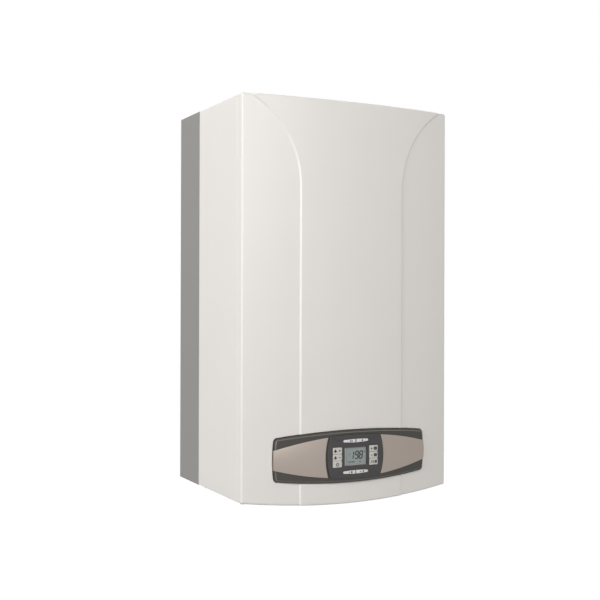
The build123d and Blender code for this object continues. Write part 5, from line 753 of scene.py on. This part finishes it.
hole |= cells(np.isin(row, (1, 7)), np.isin(column, (3, 4, 5, 7, 8, 9)))
dip = (np.sin(pi * steps_between(upward_steps)[1]) * np.isin(row, (1, 7)))[:, None]
dip = dip * (np.abs(x) > STRIP_OUTER + KEY_GAP)
face = np.stack([x, panel_depth(x, CONTROLLER_PROUD) - CREASE_DEPTH * dip, z + PANEL_MIDDLE], axis=-1)
aubergine = finish("aubergine_plastic", moulded_skin, (60, 56, 58), "controller_back", roughness=0.42,
                   mottle=0.08, spread=0.06, scale=2200, relief=0.015)
piece("controller_shell", [
    (face, ~hole),
    fold(border(face), PANEL_RADIUS, CONTROLLER_EDGE, lambda path: CONTROLLER_BACK),
], aubergine, "controller", "aubergine_plastic", "controller_body", facing=FORWARD, wall=CONTROLLER_WALL)


# Keys: ten off-white moulded caps, six square-cornered and four slim. Each has softened
# edges, follows the panel's bow, and has its sign pad-printed on its front.

KEY_FRONT = CONTROLLER_PROUD + 0.6
KEY_BACK = 338.4
KEY_CORNER_R = 1.6
KEY_EDGE = 0.8
STRIP_EDGE = 0.5
PRINT_PROUD = 0.14
PRINT_THICKNESS = 0.2
STROKE_HALF = 0.65
DASH_REACH = 1.9
DROP_FOOT = 3.0
DROP_HEIGHT = 6.2
DROP_HALF = 2.7
DROP_LEAN = 0.6
DROP_TIP = 0.05
COLUMNS = (-3.0, -1.5, 0, 1.5, 3.0)
COLUMN_REACH = 3.0
RAIL_REACH = 3.4
RAILS = (-1.9, 1.9)
FINE_HALF = 0.6


def pillow(outline, front, back, edge):
    """Closed cap over an outline: a wall, a rounded edge, and a top shrunk to the middle.

    The edge's rings are drawn in by edge times (1 - cos) and rise by edge times sin. Inside it
    the rings are the outline scaled down, at the depth that front gives for x.
    """
    run = np.roll(outline, -1, axis=0) - np.roll(outline, 1, axis=0)
    out = np.c_[run[:, 1], -run[:, 0]]
    out /= np.linalg.norm(out, axis=1)[:, None]
    middle = (outline.min(axis=0) + outline.max(axis=0)) / 2
    turn = np.linspace(0, pi / 2, 5)
    scale = np.array([0, 1, *np.ones(5), 0.85, 0.6, 0.3, 0])
    inset = np.array([0, 0, *edge * (1 - np.cos(turn)), *np.full(4, edge)])
    rise = np.array([0, 0, *edge * (np.sin(turn) - 1), *np.zeros(4)])
    flat = middle + (outline - out * inset[:, None, None] - middle) * scale[:, None, None]
    level = front(flat[..., 0]) + rise[:, None]
    level[:2] = back
    grid = np.stack([flat[..., 0], level, flat[..., 1]], axis=-1)
    return np.concatenate([grid, grid[:, :1]], axis=1)


def rounded_rectangle(middle, half_x, half_z, radius):
    """Outline of a rectangle with rounded corners, 8 points to a corner."""
    turn = np.linspace(0, pi / 2, 8)
    angle = (turn + np.arange(4)[:, None] * pi / 2).ravel()
    corner = np.repeat([(1, 1), (-1, 1), (-1, -1), (1, -1)], 8, axis=0)
    centre = np.array(middle) + corner * (half_x - radius, half_z - radius)
    return centre + radius * np.c_[np.cos(angle), np.sin(angle)]


def band(path, half, front, thickness=PRINT_THICKNESS):
    """Closed flat band: a path moved to either side by its half width, its ends drawn to points.

    path is an array of points, half one width or one for each, and front gives the depth at x.
    """
    path = np.array(path, float)
    run = np.gradient(path, axis=0)
    side = np.c_[-run[:, 1], run[:, 0]] / np.linalg.norm(run, axis=1)[:, None]
    reach = side * np.broadcast_to(half, len(path))[:, None]
    left, right = path + reach, path - reach
    flat = np.stack([left, right, right, left, left], axis=1)
    level = front(flat[..., 0]) - np.array([0, 0, thickness, thickness, 0])
    grid = np.stack([flat[..., 0], level, flat[..., 1]], axis=-1)
    ends = [np.repeat((row[0] + row[2])[None, None] / 2, 5, axis=1) for row in (grid[0], grid[-1])]
    return np.concatenate([ends[0], grid, ends[1]])


def ring_path(middle, radius, start=0.0, sweep=360.0):
    """Points round a circle from a start angle, both angles in degrees."""
    angle = np.radians(start + np.linspace(0, sweep, 25))
    return np.array(middle) + radius * np.c_[np.cos(angle), np.sin(angle)]


def dot(x, radius):
    """Stroke of a filled dot: a ring as wide as its radius."""
    return [(ring_path((x, 0), radius), radius)]


def upright(x, reach, half):
    """Upright stroke about a key's middle."""
    return [([(x, -reach), (x, reach)], half)]


def dash(x, reach=DASH_REACH, half=STROKE_HALF, z=0):
    """Level stroke about a point."""
    return [([(x - reach, z), (x + reach, z)], half)]


def plus(x):
    """Strokes of a plus sign."""
    return dash(x) + upright(x, DASH_REACH, STROKE_HALF)


def drop(x):
    """Stroke of a water drop: half its width follows a sine that leans to its foot."""
    share = np.linspace(0, 1, 14)
    path = np.c_[0 * share + x, DROP_HEIGHT * share - DROP_FOOT]
    return [(path, DROP_HALF * np.sin(pi * share ** DROP_LEAN) + DROP_TIP)]


def radiator(x):
    """Strokes of a radiator: five columns between two rails."""
    columns = [upright(x + place, COLUMN_REACH, FINE_HALF) for place in COLUMNS]
    return sum(columns + [dash(x, RAIL_REACH, FINE_HALF, z) for z in RAILS], [])


KEY_MARKS = {
    "key_left_upper": drop(-4.6) + plus(4.4),
    "key_left_middle": drop(-4.6) + dash(4.4),
    "key_left_lower": [(ring_path((0, -0.4), 2.7, 125, 290), 0.7), ([(0, 0), (0, 3.6)], STROKE_HALF)],
    "key_right_upper": plus(-5.0) + radiator(3.8),
    "key_right_middle": dash(-5.0) + radiator(3.8),
    "key_right_lower": [([(-6.6, -2.4), (-4.2, 2.4)], STROKE_HALF), (ring_path((-0.4, 0), 2.0), FINE_HALF),
                        *upright(5.2, 3.0, 1.9)],
    "strip_key_top_left": upright(1.2, 1.5, 0.4) + upright(5.8, 1.5, 0.4) + dash(3.5, 2.3, 0.4, 1.3)
    + dash(3.5, 2.3, 0.4, -1.3),
    "strip_key_top_right": dot(0, 0.8),
    "strip_key_bottom_left": dot(4.7, 0.9) + upright(-0.5, 1.4, 0.5),
    "strip_key_bottom_right": dash(-3.7, 1.3, 0.7) + dot(2.3, 0.8),
}
mark_ink = finish("mark_ink", moulded_skin, (20, 18, 19), roughness=0.45, scale=2200, relief=0.005)


def printed_key(name, outline, place, edge, plastic, slot):
    """Cap over an outline, and the signs printed on it, moved to the key's place."""
    cap = pillow(outline, lambda x: panel_depth(x, KEY_FRONT), KEY_BACK, edge)
    piece(name + "_top", [cap], plastic, name + "_cap", slot, name)
    signs = [band(np.array(path) + place, half, lambda x: panel_depth(x, KEY_FRONT) + PRINT_PROUD)
             for path, half in KEY_MARKS[name]]
    piece(name + "_marks", signs, mark_ink, name + "_cap", "key_plastic")


key_plastic = finish("key_plastic", moulded_skin, (214, 211, 203), roughness=0.4, mottle=0.05,
                     spread=0.06, scale=2200)
strip_plastic = finish("strip_plastic", moulded_skin, (236, 235, 232), roughness=0.4, mottle=0.04,
                       spread=0.06, scale=2200)
reach = STRIP_TURN + STRIP_END_HALF * np.sin(np.linspace(0, pi / 2, 9))
reach = np.concatenate([np.linspace(STRIP_INNER, STRIP_TURN, 8)[:-1], reach])
half = strip_half(reach, 0.0)
strip = np.c_[np.concatenate([reach, reach[-2::-1]]), np.concatenate([-half, half[-2::-1]])]
for side, side_name in SIDES:
    for height, row_name in zip(KEY_ROWS, ("upper", "middle", "lower")):
        place = (side * KEY_X, PANEL_MIDDLE + height)
        outline = rounded_rectangle(place, KEY_HALF_X, KEY_HALF_Z, KEY_CORNER_R)
        printed_key(f"key_{side_name}_{row_name}", outline, place, KEY_EDGE, key_plastic, "key_plastic")
    for height, row_name in ((STRIP_Z, "top"), (-STRIP_Z, "bottom")):
        outline = strip[::side] * (side, 1) + (0, PANEL_MIDDLE + height)
        place = (side * (STRIP_INNER + STRIP_OUTER) / 2, PANEL_MIDDLE + height)
        printed_key(f"strip_key_{row_name}_{side_name}", outline, place, STRIP_EDGE, strip_plastic,
                    "strip_plastic")


# Display: a liquid crystal glass with ground edges, soldered to the board behind a clear
# window, and a grey-blue polariser film stuck to its front.

GLASS_FRONT = 341.4
GLASS_THICKNESS = 1.0
GLASS_HALF = (26.0, 19.0)
# The film is set off to the right and up, so a pale strip of glass shows at the left and bottom of the
# window. It is partly bare glass and partly a painted reflection.
FILM_MIDDLE = (2.7, 0.9)
FILM_HALF = (23.3, 17.1)
FILM_PROUD = 0.3
GLASS_PROUD = 0.05
GLASS_EDGE = 0.1
PANE_CORNER_R = 0.4


def flat_at(depth):
    """Function that gives the same depth at every x."""
    return lambda x: 0 * x + depth


# The glass is coloured pale. Where it shows beside the film it is partly its real ground edge and partly a
# painted reflection of the window's edge.
glass_edge_and_reflection = finish("ground_glass_and_reflection", moulded_skin, (214, 217, 216), roughness=0.6, mottle=0.05,
                    spread=0.03, scale=900)
outline = rounded_rectangle((0, PANEL_MIDDLE), *GLASS_HALF, PANE_CORNER_R)
glass = pillow(outline, flat_at(GLASS_FRONT + GLASS_PROUD), GLASS_FRONT - GLASS_THICKNESS, GLASS_EDGE)
piece("display_glass", [glass], glass_edge_and_reflection, "controller", "circuit_board")
polariser = finish("polariser", painted_skin, (172, 182, 179), roughness=0.3, mottle=0.06,
                   spread=0.03, scale=300, relief=0.0)
outline = rounded_rectangle((FILM_MIDDLE[0], PANEL_MIDDLE + FILM_MIDDLE[1]), *FILM_HALF, PANE_CORNER_R)
film = pillow(outline, flat_at(GLASS_FRONT + FILM_PROUD), GLASS_FRONT, GLASS_EDGE)
piece("display_polariser", [film], polariser, "controller", "circuit_board")


# Figures of the display: dark seven-segment digits and small signs that the glass shows,
# leaning a little to the right. Segments a to f run clockwise from the top, and g is across
# the middle.

FIGURE_PROUD = 0.36
DIGIT_REACH = (3.1, 6.9)
DIGIT_HEIGHT = 1.75
SEGMENT_HALF = 1.2
SEGMENT_SHARES = (0.08, 0.2, 0.8, 0.92)
LEAN = 0.16
SEGMENTS = {
    "a": ((-1, 1), (1, 1)), "b": ((1, 0), (1, 1)), "c": ((1, -1), (1, 0)), "d": ((-1, -1), (1, -1)),
    "e": ((-1, -1), (-1, 0)), "f": ((-1, 0), (-1, 1)), "g": ((-1, 0), (1, 0)),
}
DIGITS = ((-6.8, "bc"), (3.6, "afbgcd"), (12.7, "afbgecd"))
SIGNS = [([(-12.6, 2.2), (-12.6, 5.0)], 0.6), (ring_path((19.2, 7.4), 0.9), 0.35),
         ([(10.6, -11.0), (15.0, -11.0)], 0.7)]
RINGS = [(ring_path((place, -10.8), 1.1), 0.4) for place in (-11.2, -7.2, -3.4, -0.2)]


def seven_segment(letters, middle, reach, half, shares):
    """Strokes of one figure: points at shares of each lettered segment, scaled by reach."""
    share = np.array(shares, float)[:, None]
    lines = np.array([SEGMENTS[letter] for letter in letters], float)
    return [((start * (1 - share) + end * share) * reach + middle, half) for start, end in lines]


def display_stroke(path, half):
    """Band on the display, sheared to the right by the lean times the height."""
    path = np.array(path, float)
    path[:, 0] += LEAN * path[:, 1]
    return band(path + (0, PANEL_MIDDLE), half, flat_at(GLASS_FRONT + FIGURE_PROUD))


strokes = list(SIGNS)
for place, letters in DIGITS:
    strokes += seven_segment(letters, (place, DIGIT_HEIGHT), DIGIT_REACH, SEGMENT_HALF, SEGMENT_SHARES)
figure_ink = finish("figure_ink", painted_skin, (12, 14, 10), roughness=0.5, mottle=0.05,
                    spread=0.03, scale=300, relief=0.0)
piece("display_figures", [display_stroke(path, half) for path, half in strokes + RINGS], figure_ink,
      "controller", "circuit_board")


# Pressure gauge: a black case with a white printed dial, clipped into the bracket and read
# from below. It counts from 0 to 4, with a green working range and a red end, and has a
# red needle.

GAUGE_X = -32.0
GAUGE_DEPTH = 126.0
GAUGE_R = 20.0
GAUGE_ROUND = 0.8
GAUGE_BASE = -702.2
GAUGE_TOP = -676.2
GAUGE_NECK_R = 7.0
GAUGE_NECK_TOP = -664.0
DIAL_Z = -695.2
DIAL_R = 18.4
DIAL_GAP = 0.2
DIAL_PROUD = 0.15
DIAL_BACK = 0.02
DIAL_EDGE = 0.05
DIAL_START, DIAL_SWEEP = 225.0, -270.0
NUMBER_R = 10.4
NUMBER_REACH = (0.9, 1.4)
NUMBER_HALF = 0.28
TICKS = 20
TICKS_TO_NUMBER = 5
TICK_END_R = 16.2
LONG_TICK = (13.4, 0.3)
SHORT_TICK = (14.6, 0.18)
SCALE_PROUD = 0.22
INK_THICKNESS = 0.05
RANGE_R = 16.9
RANGE_HALF = 0.6
RANGE_PROUD = 0.2
RANGES = (("working", 0.25, 0.5, (60, 150, 80)), ("high", 0.75, 1.0, (190, 50, 40)))
FIGURES = ("afbecd", "bc", "abged", "abgcd", "fbgc")


def lay_down(grid):
    """A grid drawn upright, laid level at the dial's place: its height becomes depth."""
    return grid[..., [0, 2, 1]] * (1, 1, -1) + (GAUGE_X, GAUGE_DEPTH, DIAL_Z)


def turned(profile):
    """Closed body of revolution on the gauge's axis, from (radius, z) pairs that start and end on it."""
    radius, z = np.array(profile, float).T[:, :, None]
    angle = np.linspace(0, 2 * pi, 65)
    x = GAUGE_X + radius * np.cos(angle)
    return np.stack([x, GAUGE_DEPTH + radius * np.sin(angle), z + 0 * x], axis=-1)


def dial_point(share):
    """Direction on the dial at a share of its sweep."""
    angle = radians(DIAL_START + DIAL_SWEEP * share)
    return np.array([cos(angle), sin(angle)])


def dial_stroke(path, half, proud):
    """Band on the dial, a little proud of it."""
    return lay_down(band(path, half, flat_at(proud), INK_THICKNESS))


case = turned([
    (0, DIAL_Z), (DIAL_R, DIAL_Z), (DIAL_R, GAUGE_BASE), (GAUGE_R - GAUGE_ROUND, GAUGE_BASE),
    (GAUGE_R, GAUGE_BASE + GAUGE_ROUND), (GAUGE_R, GAUGE_TOP - GAUGE_ROUND),
    (GAUGE_R - GAUGE_ROUND, GAUGE_TOP), (GAUGE_NECK_R, GAUGE_TOP), (GAUGE_NECK_R, GAUGE_NECK_TOP),
    (0, GAUGE_NECK_TOP)])
piece("gauge_case", [case], black_composite, "chassis", "gauge_face", "pressure_gauge")
gauge_face = finish("gauge_face", moulded_skin, (235, 235, 230), roughness=0.4, mottle=0.04)
outline = ring_path((0, 0), DIAL_R - DIAL_GAP)[:-1]
piece("gauge_dial", [lay_down(pillow(outline, flat_at(DIAL_PROUD), DIAL_BACK, DIAL_EDGE))], gauge_face,
      "chassis", "gauge_face")
strokes = []
for number, letters in enumerate(FIGURES):
    middle = NUMBER_R * dial_point(number / (len(FIGURES) - 1))
    strokes += seven_segment(letters, middle, NUMBER_REACH, NUMBER_HALF, (0, 1))
for number in range(TICKS + 1):
    inner, half = SHORT_TICK if number % TICKS_TO_NUMBER else LONG_TICK
    strokes.append((np.outer([inner, TICK_END_R], dial_point(number / TICKS)), half))
piece("gauge_scale", [dial_stroke(path, half, SCALE_PROUD) for path, half in strokes], mark_ink,
      "chassis", "gauge_face")
for name, first, last, colour in RANGES:
    path = ring_path((0, 0), RANGE_R, DIAL_START + DIAL_SWEEP * first, DIAL_SWEEP * (last - first))
    ink = finish("gauge_" + name + "_ink", moulded_skin, colour, roughness=0.45, scale=2200, relief=0.005)
    piece("gauge_" + name + "_range", [dial_stroke(path, RANGE_HALF, RANGE_PROUD)], ink,
          "chassis", "gauge_face")
finish("needle_red", moulded_skin, (196, 44, 36), "gauge_needle", roughness=0.4)


# Clear panes: one of acrylic, glued in flush with the controller's face over the display, and
# one pressed into the gauge's case below its dial.

LENS_FRONT = 344.4
LENS_THICKNESS = 1.6
LENS_GAP = 0.2
LENS_EDGE = 0.2
GAUGE_PANE = 1.5
GAUGE_PANE_SET = 0.1

lens = finish("clear_window", painted_skin, (120, 124, 128), roughness=0.06, mottle=0.03,
              spread=0.02, scale=300, relief=0.0, Alpha=0.07, Specular_IOR_Level=0.3)
outline = rounded_rectangle((0, PANEL_MIDDLE), DISPLAY_HALF_X - LENS_GAP, DISPLAY_HALF_Z - LENS_GAP,
                            PANE_CORNER_R)
window = pillow(outline, flat_at(LENS_FRONT), LENS_FRONT - LENS_THICKNESS, LENS_EDGE)
piece("display_window", [window], lens, "controller", "clear_window", "lcd_lens")
low, high = GAUGE_BASE + GAUGE_PANE_SET, GAUGE_BASE + GAUGE_PANE
pane_r = DIAL_R - GAUGE_PANE_SET
piece("gauge_pane", [turned([(0, low), (pane_r, low), (pane_r, high), (0, high)])], lens,
      "chassis", "clear_window")


# Stage: a plain pale floor below the boiler, a white surround for what the camera sees, and
# four soft lamps: from the left, from above it, from the front and from behind.

FLOOR = -2.4
FLOOR_REACH = 9
FLOOR_COLOUR = (0.4, 0.4, 0.4, 1)
FLOOR_GLOW = (0.9, 0.9, 0.9, 1)
LAMP_AIM = Vector((0, -0.16, -0.33))

ground = bpy.data.meshes.new("floor")
square = [(-1, -1), (1, -1), (1, 1), (-1, 1)]
ground.from_pydata([(FLOOR_REACH * x, FLOOR_REACH * y, FLOOR) for x, y in square], [], [(0, 1, 2, 3)])
floor = bpy.data.objects.new("floor", ground)
bpy.context.scene.collection.objects.link(floor)
floor_paint = bpy.data.materials.new("floor_paint")
floor_paint.use_nodes = True
tree = floor_paint.node_tree
shader = tree.nodes["Principled BSDF"]
shader.inputs["Base Color"].default_value = FLOOR_COLOUR
shader.inputs["Roughness"].default_value = 0.9


def seen_directly(tree):
    """Mask that is 1 for camera, glossy and transmission rays."""
    rays = add_node(tree, "LightPath").outputs
    total = rays["Is Camera Ray"]
    for label in ("Is Glossy Ray", "Is Transmission Ray"):
        total = add_node(tree, "Math", {0: total, 1: rays[label]}, operation="MAXIMUM").outputs[0]
    return total


tree.links.new(seen_directly(tree), shader.inputs["Emission Strength"])
shader.inputs["Emission Color"].default_value = FLOOR_GLOW
ground.materials.append(floor_paint)

world = bpy.data.worlds.new("surround")
bpy.context.scene.world = world
world.use_nodes = True
tree = world.node_tree
tree.nodes.clear()
light = add_node(tree, "Background", {"Color": (1.0, 0.99, 0.98, 1), "Strength": 0.2})
white = add_node(tree, "Background", {"Color": (1, 1, 1, 1), "Strength": 1.0})
sky = add_node(tree, "MixShader", {"Fac": seen_directly(tree), 1: light.outputs[0], 2: white.outputs[0]})
add_node(tree, "OutputWorld", {"Surface": sky.outputs[0]})


def lamp(name, place, size, power):
    """Square area lamp of a size in metres, aimed at the boiler's middle."""
    data = bpy.data.lights.new(name, "AREA")
    data.size = size
    data.energy = power
    thing = bpy.data.objects.new(name, data)
    thing.location = place
    thing.rotation_euler = (LAMP_AIM - Vector(place)).to_track_quat("-Z", "Y").to_euler()
    bpy.context.scene.collection.objects.link(thing)


lamp("key_lamp", (-3.0, -1.2, 0.3), size=1.2, power=43)
lamp("side_lamp", (-2.6, 0.3, 1.9), size=1.4, power=31)
lamp("front_lamp", (-0.3, -3.4, 0.7), size=2.0, power=54)
lamp("rear_lamp", (2.2, 2.2, 0.8), size=1.8, power=30)


# Camera: at the photograph's place, to the left of the boiler and level with its middle, worked
# out from the casing's corners and seams.

CAMERA_LENS = 59.14
CAMERA_PLACE = (-0.9455, -1.9577, -0.3432)
CAMERA_TURN = (90.025, -0.172, -27.11)

camera_data = bpy.data.cameras.new("camera")
camera_data.lens = CAMERA_LENS
camera = bpy.data.objects.new("camera", camera_data)
camera.location = CAMERA_PLACE
camera.rotation_euler = Euler(map(radians, CAMERA_TURN), "XYZ")
bpy.context.scene.collection.objects.link(camera)
bpy.context.scene.camera = camera
bpy.context.scene.view_settings.view_transform = "Standard"
